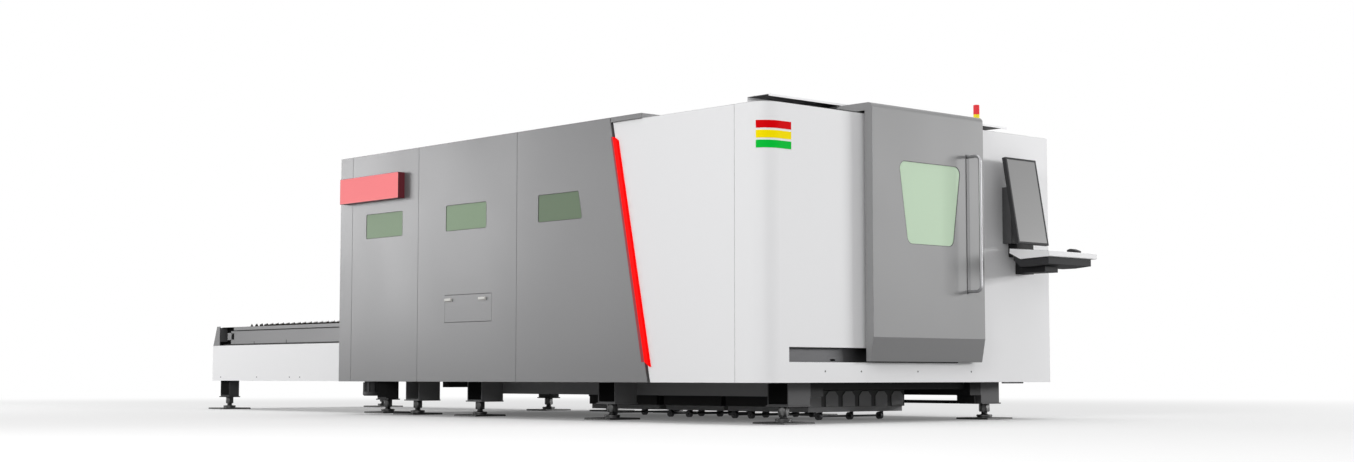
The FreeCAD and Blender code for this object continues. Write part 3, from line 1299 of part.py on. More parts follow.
def console():
    """Column with arm, leaning monitor, tray and the mouse on it."""
    high = CONSOLE_LOW_Z + CONSOLE_HEIGHT
    end = CONSOLE_X + CONSOLE_WIDTH
    front = -CONSOLE_DEPTH
    housing = box(CONSOLE_X, end, front, 0, CONSOLE_LOW_Z, high)
    upright = [e for e in upright_edges(housing) if e.Vertexes[0].Y < front + 1]
    housing = housing.makeFillet(CONSOLE_EDGE, upright)
    column = box(COLUMN_X, COLUMN_X + COLUMN_WIDTH, front, 0, ARM_LOW_Z, CONSOLE_LOW_Z)
    arm = box(COLUMN_X, COLUMN_X + ARM_WIDTH, -ARM_REACH, front, ARM_LOW_Z, TRAY_BODY_LOW_Z)
    middle = CONSOLE_X + CONSOLE_WIDTH / 2
    lug_half = 40.0
    ears = []
    for x in (middle - lug_half - SIDE_RUN - EAR, middle + lug_half + SIDE_RUN):
        profile = [
            (front, PIVOT_Z - PIVOT_RADIUS),
            (front, PIVOT_Z + PIVOT_RADIUS),
            (PIVOT_Y - PIVOT_RADIUS, PIVOT_Z + PIVOT_RADIUS),
            (PIVOT_Y - PIVOT_RADIUS, PIVOT_Z - PIVOT_RADIUS),
        ]
        ears.append(slab_x(profile, x, x + EAR, [0, 0, 10.0, 10.0]))
    pin_x = middle - lug_half - SIDE_RUN - EAR
    pin = rod(V(pin_x, PIVOT_Y, PIVOT_Z), V(1, 0, 0), PIVOT_PIN, 2 * (lug_half + SIDE_RUN + EAR))
    save("console_column", fused([housing, column, arm] + ears + [pin]))
    x1 = MONITOR_X + MONITOR_WIDTH
    face_depth = 4.0
    case = monitor_slab(MONITOR_X, x1, 0, MONITOR_THICK, 0, MONITOR_HEIGHT, [4.0, 8.0, 8.0, 4.0])
    recess = monitor_slab(MONITOR_X + BEZEL, x1 - BEZEL, -1, face_depth, BEZEL, MONITOR_HEIGHT - BEZEL)
    case = case.cut(recess)
    lug = rod(V(middle - lug_half, PIVOT_Y, PIVOT_Z), V(1, 0, 0), PIVOT_RADIUS, 2 * lug_half)
    lean = math.radians(MONITOR_LEAN)
    up = (PIVOT_Z - MONITOR_LOW_Z) / math.cos(lean)
    reach = [monitor_point(MONITOR_THICK - 2, up - 22), (PIVOT_Y, PIVOT_Z - 12)]
    reach += [(PIVOT_Y, PIVOT_Z + 12), monitor_point(MONITOR_THICK - 2, up + 22)]
    neck = slab_x(reach, middle - lug_half, middle + lug_half)
    start = V(middle - lug_half - 1, PIVOT_Y, PIVOT_Z)
    bore = rod(start, V(1, 0, 0), PIVOT_PIN + PIN_CLEARANCE, 2 * lug_half + 2)
    save("monitor_case", fused([case, lug, neck]).cut(bore))
    screen = monitor_slab(MONITOR_X + BEZEL, x1 - BEZEL, 1.0, face_depth, BEZEL, MONITOR_HEIGHT - BEZEL)
    save("monitor_screen", screen)

    heel_y, heel_z = TRAY_BACK_Y - 100.0, TRAY_TOP_BACK_Z - 87.0
    back_low = TRAY_TOP_BACK_Z - 36.0
    tray = [
        (TRAY_FRONT_Y, TRAY_TOP_FRONT_Z - TRAY_FRONT_THICK),
        (heel_y, heel_z),
        (TRAY_BACK_Y + 4.0, back_low),
        (TRAY_BACK_Y, TRAY_TOP_BACK_Z),
        (TRAY_FRONT_Y, TRAY_TOP_FRONT_Z),
    ]
    save("tray_top", slab_x(tray, TRAY_X, TRAY_X + TRAY_WIDTH, [6.0, 0, 0, 0, 6.0]))
    low_front = (TRAY_FRONT_Y, TRAY_TOP_FRONT_Z - TRAY_FRONT_THICK)

    def underside(y):
        share = (y - low_front[0]) / (heel_y - low_front[0])
        return low_front[1] + share * (heel_z - low_front[1])

    body_front = TRAY_FRONT_Y + TRAY_BODY_INSET
    slope = (back_low - heel_z) / (TRAY_BACK_Y + 4.0 - heel_y)
    body_back = heel_y + 80.0
    body = [
        (body_front, underside(body_front)),
        (body_front, TRAY_BODY_LOW_Z + 12.0),
        (body_front + TRAY_BODY_NOSE, TRAY_BODY_LOW_Z),
        (heel_y + 15.0, TRAY_BODY_LOW_Z),
        (body_back, TRAY_BODY_LOW_Z + 55.0),
        (body_back, heel_z + 80.0 * slope),
        (heel_y, heel_z),
    ]
    body_x = TRAY_X + TRAY_BODY_INSET
    save("tray_body", slab_x(body, body_x, TRAY_X + TRAY_WIDTH - TRAY_BODY_RIGHT))
    save("mouse", mouse())


def mouse():
    """Domed pointing device that lies on the sloping tray."""
    half_w, half_l = MOUSE_WIDTH / 2, MOUSE_LENGTH / 2
    y0, y1 = MOUSE_Y - half_l, MOUSE_Y + half_l
    side = [
        (y0, tray_top_z(y0)),
        (y1, tray_top_z(y1)),
        (y1, tray_top_z(y1) + MOUSE_HEIGHT * 0.45),
        (MOUSE_Y + 10.0, tray_top_z(MOUSE_Y) + MOUSE_HEIGHT),
        (y0, tray_top_z(y0) + MOUSE_HEIGHT * 0.4),
    ]
    body = slab_x(side, MOUSE_X - half_w, MOUSE_X + half_w, [0, 0, 10.0, 30.0, 8.0])
    plan = [
        (MOUSE_X - half_w, y0),
        (MOUSE_X + half_w, y0),
        (MOUSE_X + half_w, y1),
        (MOUSE_X - half_w, y1),
    ]
    low = tray_top_z(y0) - 5.0
    return body.common(slab_z(plan, low, low + 2 * MOUSE_HEIGHT + 20.0, [half_w * 0.9] * 4))


# --------------------------------------------------------------- gantry --
def gantry():
    """Cross beam on two trucks, cross carriage and cutting head."""
    half = GANTRY_DEPTH / 2
    y0, y1 = GANTRY_Y - half, GANTRY_Y + half
    x0, x1 = BEAM_X, 2 * CENTRE_X - BEAM_X
    top = GANTRY_LOW_Z + GANTRY_HEIGHT
    wall = GANTRY_WALL
    beam = box(x0, x1, y0, y1, GANTRY_LOW_Z, top)
    beam = beam.cut(box(x0 + wall, x1 - wall, y0 + wall, y1 - wall, GANTRY_LOW_Z + wall, top - wall))
    rail_x = BEAM_X + (BEAM_WIDTH - GUIDE_RAIL_WIDTH) / 2
    rail_top = BED_TOP + GUIDE_RAIL_HEIGHT
    middle = rail_x + GUIDE_RAIL_WIDTH / 2
    reach = TRUCK_LENGTH / 2
    front, back = GANTRY_Y - reach, GANTRY_Y + reach
    wide = TRUCK_WIDTH / 2
    truck = box(middle - wide, middle + wide, front, back, BED_TOP + TRUCK_LIFT, GANTRY_LOW_Z)
    wide = GUIDE_RAIL_WIDTH / 2 + RUN
    groove = box(middle - wide, middle + wide, front - 1, back + 1, BED_TOP, rail_top + RUN)
    travel = CARRIAGE_TRAVEL + CARRIAGE_WIDTH / 2 + CROSS_RAIL_STOP
    left, right = CENTRE_X - travel, CENTRE_X + travel
    pieces = [beam]
    for z in (GANTRY_LOW_Z + CROSS_RAIL_IN, top - CROSS_RAIL_IN - CROSS_RAIL):
        pieces.append(box(left, right, y1, y1 + CROSS_RAIL_OUT, z, z + CROSS_RAIL))
    save("gantry_beam", [fused(pieces)] + both_sides(truck.cut(groove)))
    plate_y = y1 + CROSS_RAIL_OUT + RUN
    wide = CARRIAGE_WIDTH / 2
    low, high = GANTRY_LOW_Z + CARRIAGE_BORDER, top - CARRIAGE_BORDER
    carriage = box(CENTRE_X - wide, CENTRE_X + wide, plate_y, plate_y + CARRIAGE_THICK, low, high)
    save("cross_carriage", carriage)
    head_y = plate_y + CARRIAGE_THICK + RUN
    side = HEAD_WIDTH / 2
    high = HEAD_LOW_Z + HEAD_HEIGHT
    body = box(CENTRE_X - side, CENTRE_X + side, head_y, head_y + HEAD_DEPTH, HEAD_LOW_Z, high)
    body = body.makeFillet(HEAD_EDGE, upright_edges(body))
    axis = V(CENTRE_X, head_y + HEAD_DEPTH / 2, NOZZLE_Z)
    height = HEAD_LOW_Z - NOZZLE_Z
    nozzle = Part.makeCone(NOZZLE_TIP_RADIUS, NOZZLE_TOP_RADIUS, height, axis, V(0, 0, 1))
    save("cutting_head", fused([body, nozzle]))


# -------------------------------------------------------------- pallets --
def slat(y, z):
    """Upright sheet strip with pointed teeth along its upper edge."""
    x0, x1 = PALLET_X + PALLET_BAR, PALLET_X + PALLET_WIDTH - PALLET_BAR
    pitch = (x1 - x0) / SLAT_TEETH
    top = z + SLAT_HEIGHT
    points = [(x1, z), (x0, z)]
    for k in range(SLAT_TEETH):
        points.append((x0 + k * pitch, top - TOOTH_DEPTH))
        points.append((x0 + (k + 0.5) * pitch, top))
    points.append((x1, top - TOOTH_DEPTH))
    return slab_y(points, y, y + SLAT_THICK)


def pallet(name, y, z):
    """Pallet frame with its slats standing between the side bars."""
    x0, x1 = PALLET_X, PALLET_X + PALLET_WIDTH
    end = y + PALLET_LENGTH
    bars = [
        box(x0, x0 + PALLET_BAR, y, end, z, z + PALLET_BAR_HEIGHT),
        box(x1 - PALLET_BAR, x1, y, end, z, z + PALLET_BAR_HEIGHT),
    ]
    for tie_y in (y, y + (PALLET_LENGTH - PALLET_BAR) / 2, end - PALLET_BAR):
        bars.append(box(x0 + PALLET_BAR, x1 - PALLET_BAR, tie_y, tie_y + PALLET_BAR, z, z + PALLET_TIE))
    frame = fused(bars)
    first = y + PALLET_BAR / 2
    pitch = (PALLET_LENGTH - PALLET_BAR) / (SLAT_COUNT - 1)
    slats = [slat(first + k * pitch - SLAT_THICK / 2, z + PALLET_TIE) for k in range(SLAT_COUNT)]
    save(name + "_pallet", [frame] + slats)


# ---------------------------------------------------------------- table --
def shaft_bore(x0, x1, y):
    """Hole for a chain shaft between two places along X."""
    return rod(V(x0, y, SHAFT_Z), V(1, 0, 0), SHAFT_RADIUS + PIN_CLEARANCE, x1 - x0)


def table_beam():
    """Rectangular tube with two running ledges, bored through its inner wall."""
    x0, x1 = TABLE_BEAM_X, TABLE_BEAM_INNER_X
    shelf = x1 + LEDGE_WIDTH - 20.0
    profile = [(x0, TABLE_BEAM_LOW_Z), (x1, TABLE_BEAM_LOW_Z)]
    for z in (LOWER_PALLET_Z, UPPER_PALLET_Z):
        profile += [(x1, z - LEDGE_THICK), (shelf, z - LEDGE_THICK), (shelf, z - RUN), (x1, z - RUN)]
    profile += [(x1, TABLE_BEAM_TOP), (x0, TABLE_BEAM_TOP)]
    beam = slab_y(profile, TABLE_Y, CHEEK_FRONT_Y + 10)
    wall = BEAM_WALL
    y0, y1 = TABLE_Y + wall, CHEEK_FRONT_Y + 10 - wall
    tube = box(x0 + wall, x1 - wall, y0, y1, TABLE_BEAM_LOW_Z + wall, TABLE_BEAM_TOP - wall)
    beam = beam.cut(tube)
    for y in (DRIVE_Y, IDLER_Y):
        beam = beam.cut(shaft_bore((x0 + x1) / 2, x1 + 1, y))
    return beam


def table_leg(y):
    """Post with a foot flange under the cross beam."""
    wide, deep = TABLE_LEG_WIDTH / 2, TABLE_LEG_DEPTH / 2
    x = TABLE_LEG_X
    top = TABLE_BEAM_LOW_Z - TABLE_CROSS_HEIGHT
    post = box(x - wide, x + wide, y - deep, y + deep, BRACKET_LOW_Z, top)
    wide, deep = wide + BRACKET_FLANGE, deep + BRACKET_FLANGE
    flange = box(x - wide, x + wide, y - deep, y + deep, FOOT_TOP, BRACKET_LOW_Z)
    return fused([post, flange])


def side_rail():
    """Grey folded cover: lip, top, web and lower fold."""
    x0 = SIDE_RAIL_X - RAIL_LIP_OUT
    s = RAIL_SHEET
    top = TABLE_BEAM_TOP + s
    profile = [
        (TABLE_BEAM_INNER_X, top),
        (x0, top),
        (x0, top - RAIL_LIP_HEIGHT),
        (x0 + s, top - RAIL_LIP_HEIGHT),
        (x0 + s, top - s),
        (SIDE_RAIL_X, top - s),
        (SIDE_RAIL_X, SIDE_RAIL_LOW_Z),
        (SIDE_RAIL_X + RAIL_FOLD, SIDE_RAIL_LOW_Z),
        (SIDE_RAIL_X + RAIL_FOLD, SIDE_RAIL_LOW_Z + s),
        (SIDE_RAIL_X + s, SIDE_RAIL_LOW_Z + s),
        (SIDE_RAIL_X + s, top - s),
        (TABLE_BEAM_INNER_X, top - s),
    ]
    rail = slab_y(profile, TABLE_Y, SIDE_RAIL_END_Y)
    plate = box(x0, TABLE_BEAM_INNER_X, SIDE_RAIL_END_Y, CHEEK_FRONT_Y + 10, top - s, top)
    return fused([rail, plate])


def table_skirts():
    """White pans on both long sides and across the rear end."""
    side = [(TABLE_Y, SKIRT_HEIGHT), (TABLE_END_Y, SKIRT_HEIGHT)]
    side += [(TABLE_END_Y, SKIRT_TOP), (TABLE_Y, SKIRT_TOP)]
    skirts = both_sides(pan_x(side, SKIRT_X, FOLD))
    x0, x1 = SKIRT_X + FOLD, 2 * CENTRE_X - SKIRT_X - FOLD
    y0, y1 = TABLE_END_Y - FOLD, TABLE_END_Y
    rear = box(x0, x1, y0, y1, SKIRT_HEIGHT, SKIRT_TOP)
    hollow = box(x0 + SHEET, x1 - SHEET, y0 - 1, y1 - SHEET, SKIRT_HEIGHT + SHEET, SKIRT_TOP - SHEET)
    return skirts + [rear.cut(hollow)]


def end_cheek():
    """Sloped plate at the rear end of a table side."""
    shape = [
        (CHEEK_FRONT_Y, SKIRT_TOP),
        (TABLE_END_Y - 5, SKIRT_TOP),
        (TABLE_END_Y - 5 - CHEEK_SLOPE, CHEEK_TOP_Z),
        (CHEEK_FRONT_Y, CHEEK_TOP_Z),
    ]
    return slab_x(shape, SKIRT_X, SKIRT_X + CHEEK_THICK)


def chain(x):
    """Closed chain loop round the two wheels."""
    inner = WHEEL_RADIUS + RUN
    outer = inner + CHAIN_THICK

    def loop(radius, x0, x1):
        low, high = SHAFT_Z - radius, SHAFT_Z + radius
        shape = [
            (DRIVE_Y - radius, low),
            (IDLER_Y + radius, low),
            (IDLER_Y + radius, high),
            (DRIVE_Y - radius, high),
        ]
        return slab_x(shape, x0, x1, [radius - 0.01] * 4)

    return loop(outer, x, x + CHAIN_WIDTH).cut(loop(inner, x - 1, x + CHAIN_WIDTH + 1))


def chain_shaft(y, x0):
    """Cross shaft with a chain wheel near each end."""
    x1 = 2 * CENTRE_X - TABLE_BEAM_X - TABLE_BEAM_WIDTH / 2
    shaft = rod(V(x0, y, SHAFT_Z), V(1, 0, 0), SHAFT_RADIUS, x1 - x0)
    wheel = rod(V(CHAIN_X, y, SHAFT_Z), V(1, 0, 0), WHEEL_RADIUS, CHAIN_WIDTH)
    return fused([shaft] + both_sides(wheel))


def exchange_motor():
    """Upright finned motor under a gearbox at the table's left side."""
    y = DRIVE_Y
    half = GEARBOX_WIDTH / 2
    low, high = TABLE_BEAM_LOW_Z - 20.0, SHAFT_Z + 45.0
    head = box(MOTOR_X - half, MOTOR_X + half, y - half, y + half, MOTOR_TOP_Z, low)
    half = DRIVE_CASE_LENGTH / 2
    tower = box(SIDE_RAIL_X + RAIL_FOLD + 6.0, TABLE_BEAM_X, y - half, y + half, low, high)
    bore = shaft_bore(TABLE_BEAM_X - 30, TABLE_BEAM_X + 1, y)
    core_low = MOTOR_LOW_Z + MOTOR_COWL
    core = rod(V(MOTOR_X, y, core_low), V(0, 0, 1), MOTOR_CORE, MOTOR_TOP_Z - core_low)
    cowl = rod(V(MOTOR_X, y, MOTOR_LOW_Z), V(0, 0, 1), MOTOR_RADIUS, MOTOR_COWL)
    rim = [e for e in cowl.Edges if max(v.Z for v in e.Vertexes) < MOTOR_LOW_Z + 1]
    cowl = cowl.makeChamfer(COWL_CHAMFER, rim)
    pieces = [core, cowl, head, tower]
    for k in range(MOTOR_FINS):
        half = FIN_THICK / 2
        fin = box(MOTOR_CORE - 4, MOTOR_RADIUS - 2, -half, half, core_low, MOTOR_TOP_Z - 12)
        fin.rotate(V(0, 0, 0), V(0, 0, 1), 360.0 * k / MOTOR_FINS)
        fin.translate(V(MOTOR_X, y, 0))
        pieces.append(fin)
    return fused(pieces).cut(bore)


def table():
    """Frame, covers and drive of the exchange table."""
    left, right = both_sides(table_beam())
    left = left.cut(shaft_bore(TABLE_BEAM_X - 1, TABLE_BEAM_X + TABLE_BEAM_WIDTH / 2, DRIVE_Y))
    frame = [left, right]
    low = TABLE_BEAM_LOW_Z - TABLE_CROSS_HEIGHT
    inner = SKIRT_X + SHEET
    for y in TABLE_LEG_ROWS:
        frame.append(box(inner, 2 * CENTRE_X - inner, y - 60, y + 60, low, TABLE_BEAM_LOW_Z))
        frame += both_sides(table_leg(y))
    save("table_frame", frame)
    save("table_skirts", table_skirts())
    save("table_side_rails", both_sides(side_rail()))
    inside = SKIRT_X + CHEEK_THICK
    beam_y = CHEEK_FRONT_Y + 10
    outside, end = 2 * CENTRE_X - inside, beam_y + END_BEAM_DEPTH
    end_beam = box(inside, outside, beam_y, end, END_BEAM_LOW_Z, TABLE_BEAM_TOP)
    save("table_end", both_sides(end_cheek()) + [end_beam])
    save("exchange_motor", exchange_motor())
    save("drive_shaft", chain_shaft(DRIVE_Y, TABLE_BEAM_X - 25))
    save("idler_shaft", chain_shaft(IDLER_Y, TABLE_BEAM_X + TABLE_BEAM_WIDTH / 2))
    save("drive_chains", both_sides(chain(CHAIN_X)))


# ---------------------------------------------------------------- carts --
def axle_z():
    """Axle height of the cart wheels."""
    return WHEEL_LIFT + CART_WHEEL_RADIUS


def wheel_places():
    """Middle x of the three wheels on an axle."""
    middle = CART_X + CART_WIDTH / 2
    return [middle + k * CART_WHEEL_SPACING for k in (-1, 0, 1)]


def axle_places():
    """Middle y of every cart axle, front to rear."""
    places = []
    for start, length in zip(CART_STARTS, CART_LENGTHS):
        places += [start + CART_WHEEL_INSET, start + length - CART_WHEEL_INSET]
    return places


def cart(start, length):
    """Open trough with pressed front panels on a chassis with axle hangers."""
    end = start + length
    x0, x1 = CART_X, CART_X + CART_WIDTH
    trough = box(x0, x1, start, end, CART_LOW_Z, CART_TOP)
    left, right, floor = x0 + SHEET, x1 - SHEET, CART_LOW_Z + SHEET
    trough = trough.cut(box(left, right, start + SHEET, end - SHEET, floor, CART_TOP + 1))
    pieces = [trough]
    pitch = CART_WIDTH / CART_PANELS
    for k in range(CART_PANELS):
        middle = x0 + (k + 0.5) * pitch
        half = CART_PANEL_WIDTH / 2
        low, high, c = CART_LOW_Z + 2.0, CART_TOP - 8.0, CART_PANEL_CHAMFER
        shape = [
            (middle - half, low),
            (middle + half, low),
            (middle + half, high - c),
            (middle + half - c, high),
            (middle - half + c, high),
            (middle - half, high - c),
        ]
        pieces.append(slab_y(shape, start - CART_PANEL_PROUD, start))
    cx0, cx1 = x0 + CHASSIS_INSET, x1 - CHASSIS_INSET
    low, bar = CHASSIS_LOW_Z, CHASSIS_BAR
    ring = box(cx0, cx1, start, end, low, CART_LOW_Z)
    ring = ring.cut(box(cx0 + bar, cx1 - bar, start + bar, end - bar, low - 1, CART_LOW_Z + 1))
    pieces.append(ring)
    bores = []
    for y in (start + CART_WHEEL_INSET, end - CART_WHEEL_INSET):
        pieces.append(box(cx0 + bar, cx1 - bar, y - 20, y + 20, CART_LOW_Z - 20, CART_LOW_Z))
        for x in wheel_places():
            near = x + CART_WHEEL_WIDTH / 2 + 4.0
            low = axle_z() - CART_AXLE - 6.0
            pieces.append(box(near, near + HANGER, y - 18, y + 18, low, CART_LOW_Z))
        bores.append(rod(V(x0, y, axle_z()), V(1, 0, 0), CART_AXLE + PIN_CLEARANCE, CART_WIDTH))
    solid = fused(pieces)
    for bore in bores:
        solid = solid.cut(bore)
    return solid


def wheelset(y):
    """Axle with three wheels."""
    xs = wheel_places()
    half = CART_WHEEL_WIDTH / 2
    start = xs[0] - half - 6
    axle = rod(V(start, y, axle_z()), V(1, 0, 0), CART_AXLE, xs[-1] + half + 16 - start)
    wheels = []
    for x in xs:
        wheels.append(rod(V(x - half, y, axle_z()), V(1, 0, 0), CART_WHEEL_RADIUS, CART_WHEEL_WIDTH))
    return fused([axle] + wheels)


def carts():
    """Three carts hooked together, and their six axles."""
    troughs = [cart(start, length) for start, length in zip(CART_STARTS, CART_LENGTHS)]
    middle = CART_X + CART_WIDTH / 2
    half = DRAWBAR / 2
    for k in range(len(troughs) - 1):
        tail = CART_STARTS[k] + CART_LENGTHS[k]
        low, high = CHASSIS_LOW_Z + 8.0, CART_LOW_Z - 8.0
        hook = box(middle - half, middle + half, tail, CART_STARTS[k + 1], low, high)
        troughs[k] = fused([troughs[k], hook])
    save("slag_carts", troughs)
    for number, y in enumerate(axle_places(), 1):
        save("cart_axle_" + str(number), wheelset(y))


os.makedirs("parts", exist_ok=True)
bed()
cabin()
door_set()
signal_tower()
console()
gantry()
pallet("upper", PALLET_OUT_Y, UPPER_PALLET_Z)
pallet("lower", PALLET_IN_Y, LOWER_PALLET_Z)
table()
carts()
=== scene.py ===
import bmesh
import bpy
import numpy as np
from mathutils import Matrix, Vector

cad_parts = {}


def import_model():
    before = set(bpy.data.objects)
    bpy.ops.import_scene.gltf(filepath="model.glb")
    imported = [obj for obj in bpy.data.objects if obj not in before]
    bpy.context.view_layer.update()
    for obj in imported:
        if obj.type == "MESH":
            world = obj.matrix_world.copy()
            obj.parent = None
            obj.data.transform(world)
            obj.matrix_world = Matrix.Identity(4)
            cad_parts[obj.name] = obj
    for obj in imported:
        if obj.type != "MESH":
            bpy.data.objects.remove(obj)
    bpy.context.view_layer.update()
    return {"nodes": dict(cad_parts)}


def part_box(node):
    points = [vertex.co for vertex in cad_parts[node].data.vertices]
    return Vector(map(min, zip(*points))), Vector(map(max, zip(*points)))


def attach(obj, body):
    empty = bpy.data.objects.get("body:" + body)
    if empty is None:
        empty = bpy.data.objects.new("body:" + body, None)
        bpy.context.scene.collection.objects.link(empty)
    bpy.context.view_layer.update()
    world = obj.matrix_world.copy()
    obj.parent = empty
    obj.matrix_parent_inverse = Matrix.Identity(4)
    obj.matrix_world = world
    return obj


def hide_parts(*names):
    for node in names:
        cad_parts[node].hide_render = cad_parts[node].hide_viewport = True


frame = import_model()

nodes = frame["nodes"]
print("the frame holds", len(nodes), "pieces")

# %% [markdown]
# ## Where things are
#
# The cabin's front left corner on the floor is the natural zero of this machine: X runs
# along the front wall, Y runs back to the exchange table and Z runs up. The loaded front
# wall starts in that corner, so its box gives the zero, and no number is copied by hand.
#
# %% Places on the machine
HALF_CABIN = 1.65
front_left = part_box("front_wall")[0]
CORNER = np.array([front_left.x, front_left.y, 0.0])


def place(x, y, z):
    """A point given in metres from the cabin's front left corner, in the frame's own metres."""
    return CORNER + np.array([x, y, z])


MIDDLE_X = float(place(HALF_CABIN, 0.0, 0.0)[0])
print("the cabin's corner stands at", np.round(CORNER, 4))

# %% [markdown]
# ## Grids
#
# Nearly every small part of a machine is a profile turned about an axis, or a profile
# carried along a path. Both are a grid of points: rows run along the path or the turn,
# columns run along the profile. numpy fills the whole grid at once, and the faces only
# depend on how many rows and columns there are, so one helper can make them all.
#
# %% Faces of a grid
def grid_quads(rows, columns, ring_rows=False, ring_columns=False):
    """Four corner numbers for every cell: point (i, j) has number i * columns + j, and a
    ring joins its last line to its first."""
    i = np.arange(rows if ring_rows else rows - 1)
    j = np.arange(columns if ring_columns else columns - 1)
    i0, j0 = np.meshgrid(i, j, indexing="ij")
    i1, j1 = (i0 + 1) % rows, (j0 + 1) % columns
    corners = [i0 * columns + j0, i1 * columns + j0, i1 * columns + j1, i0 * columns + j1]
    return np.stack(corners, axis=-1).reshape(-1, 4)


def turned_quads(rings, steps):
    """Faces of a turned solid: quads between its rings, and one many-sided face over each end."""
    sides = grid_quads(rings, steps, ring_columns=True)[:, ::-1].tolist()
    low_end = list(range(steps))[::-1]
    high_end = list(range((rings - 1) * steps, rings * steps))
    return sides + [low_end, high_end]


print("a grid of 3 by 4 points has", len(grid_quads(3, 4)), "faces")

# %% [markdown]
# ## From arrays to a piece
#
# A finished piece is a mesh whose vertices already stand in the right place, under an
# object that sits at the origin. It rides on one body of the machine, so that it moves
# with the door, the hatch or the bed, and it names the paint or metal it is made from.
#
# %% Make a piece
SHARP_FROM = np.radians(40.0)


def make_piece(name, points, faces, finish, body, slot, smooth=True):
    """A mesh object from an array of points and a list of faces, riding on a body. Every closed
    shell in it is turned so that its faces point outwards, and edges over 40 degrees stay sharp."""
    mesh = bpy.data.meshes.new(name)
    mesh.from_pydata(np.asarray(points, float).reshape(-1, 3).tolist(), [], [list(f) for f in faces])
    shells = bmesh.new()
    shells.from_mesh(mesh)
    bmesh.ops.recalc_face_normals(shells, faces=shells.faces)
    shells.to_mesh(mesh)
    shells.free()
    mesh.polygons.foreach_set("use_smooth", np.full(len(mesh.polygons), smooth))
    mesh.set_sharp_from_angle(angle=SHARP_FROM)
    mesh.update()
    mesh.materials.append(finish)
    piece = bpy.data.objects.new(name, mesh)
    bpy.context.scene.collection.objects.link(piece)
    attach(piece, body)
    print(name, "has", len(mesh.polygons), "faces and rides on", body)
    return piece


print("edges over", round(np.degrees(SHARP_FROM)), "degrees stay sharp")

# %% [markdown]
# ## Many shapes in one piece
#
# A dozen screws or thirty slats are one shape copied, and a bracket is a few blocks that touch.
# Both come down to the same bookkeeping: points are put end to end, and each shape's face
# numbers are raised by the number of points before it. Flat parts are outlines with a thickness.
#
# %% Copies, plates and blocks
def copies(points, faces, offsets):
    """The same points moved to every offset, with the face numbers raised by one copy each."""
    points = np.asarray(points, float).reshape(-1, 3)
    offsets = np.asarray(offsets, float).reshape(-1, 1, 3)
    moved = (points[None] + offsets).reshape(-1, 3)
    many = [[k * len(points) + v for v in face] for k in range(len(offsets)) for face in faces]
    return moved, many


def joined(parts):
    """Several (points, faces) pairs as one pair."""
    points, faces, first = [], [], 0
    for some_points, some_faces in parts:
        some_points = np.asarray(some_points, float).reshape(-1, 3)
        points.append(some_points)
        faces += [[first + v for v in face] for face in some_faces]
        first += len(some_points)
    return np.concatenate(points), faces


def plate(outline, low, high, axis):
    """Flat outline given a thickness along an axis, from low to high: the outline's two numbers
    are the places along the other two axes."""
    outline = np.asarray(outline, float)
    count = len(outline)
    points = np.empty((2, count, 3))
    points[:, :, [a for a in range(3) if a != axis]] = outline
    points[0, :, axis], points[1, :, axis] = low, high
    k = np.arange(count)
    sides = np.stack([k, (k + 1) % count, (k + 1) % count + count, k + count], axis=-1)
    return points.reshape(-1, 3), sides.tolist() + [k[::-1].tolist(), (k + count).tolist()]


def block(low, high):
    """Box between two corners."""
    outline = [(low[0], low[1]), (high[0], low[1]), (high[0], high[1]), (low[0], high[1])]
    return plate(outline, low[2], high[2], 2)


def machine_block(low, high):
    """Box between two places measured from the cabin's corner."""
    return block(place(*low), place(*high))


def eased(piece, width, segments=2):
    """Rounds a piece's sharp edges with a Bevel modifier, as a press or a file does."""
    bevel = piece.modifiers.new("eased edges", "BEVEL")
    bevel.width, bevel.segments, bevel.limit_method = width, segments, "ANGLE"


print("a block has", len(block((0.0, 0.0, 0.0), (1.0, 1.0, 1.0))[1]), "faces")

# %% [markdown]
# ## Shader helpers
#
# Materials are small networks. Writing each link by hand hides the idea, so a few short
# helpers add a node, feed its inputs by their names, and hand back the output that the next
# line needs. An input is fed a plain value or another node's output in the same words.
#
# %% Nodes and links
def supply(tree, socket, value):
    """Gives one input what it needs: an output is linked to it, and a plain value is set on it."""
    if isinstance(value, bpy.types.NodeSocket):
        tree.links.new(value, socket)
    else:
        socket.default_value = value


def feed(tree, node, **inputs):
    """Supplies a node's inputs by their names, with _ in place of a space."""
    for name, value in inputs.items():
        supply(tree, node.inputs[name.replace("_", " ")], value)


def add_node(tree, kind, **values):
    """A node of a kind; a value named in_NAME goes to the input NAME, any other is a property."""
    node = tree.nodes.new(kind)
    for key, value in values.items():
        if not key.startswith("in_"):
            setattr(node, key, value)
    feed(tree, node, **{key[3:]: value for key, value in values.items() if key.startswith("in_")})
    return node


def maths(tree, operation, *operands, clamp=False):
    """A Math node; each operand is an output or a number. Returns its own output."""
    node = add_node(tree, "ShaderNodeMath", operation=operation, use_clamp=clamp)
    for socket, operand in zip(node.inputs, operands):
        supply(tree, socket, operand)
    return node.outputs[0]


print("networks are wired with", ", ".join(step.__name__ for step in (supply, feed, add_node, maths)))

# %% [markdown]
# ## Colours and patterns
#
# Sheet metal finishes need the same few things again and again: a grey, a colour made
# darker, two colours mixed by a mask, and noise that is measured in metres of the real sheet
# and not in shares of its box.
#
# %% Colours and noise
def grey(level, blue=None):
    """A neutral colour: red and green at the level, and blue at its own level or the same."""
    return (level, level, level if blue is None else blue, 1.0)


def toned(colour, amount):
    """A plain colour times an amount, with each of its three parts at most one."""
    return tuple(min(1.0, part * amount) for part in colour[:3]) + (1.0,)


def tinted(tree, colour, amount):
    """A colour output made lighter or darker: colour times amount."""
    scale = add_node(tree, "ShaderNodeVectorMath", operation="SCALE", in_Vector=colour, in_Scale=amount)
    return scale.outputs[0]


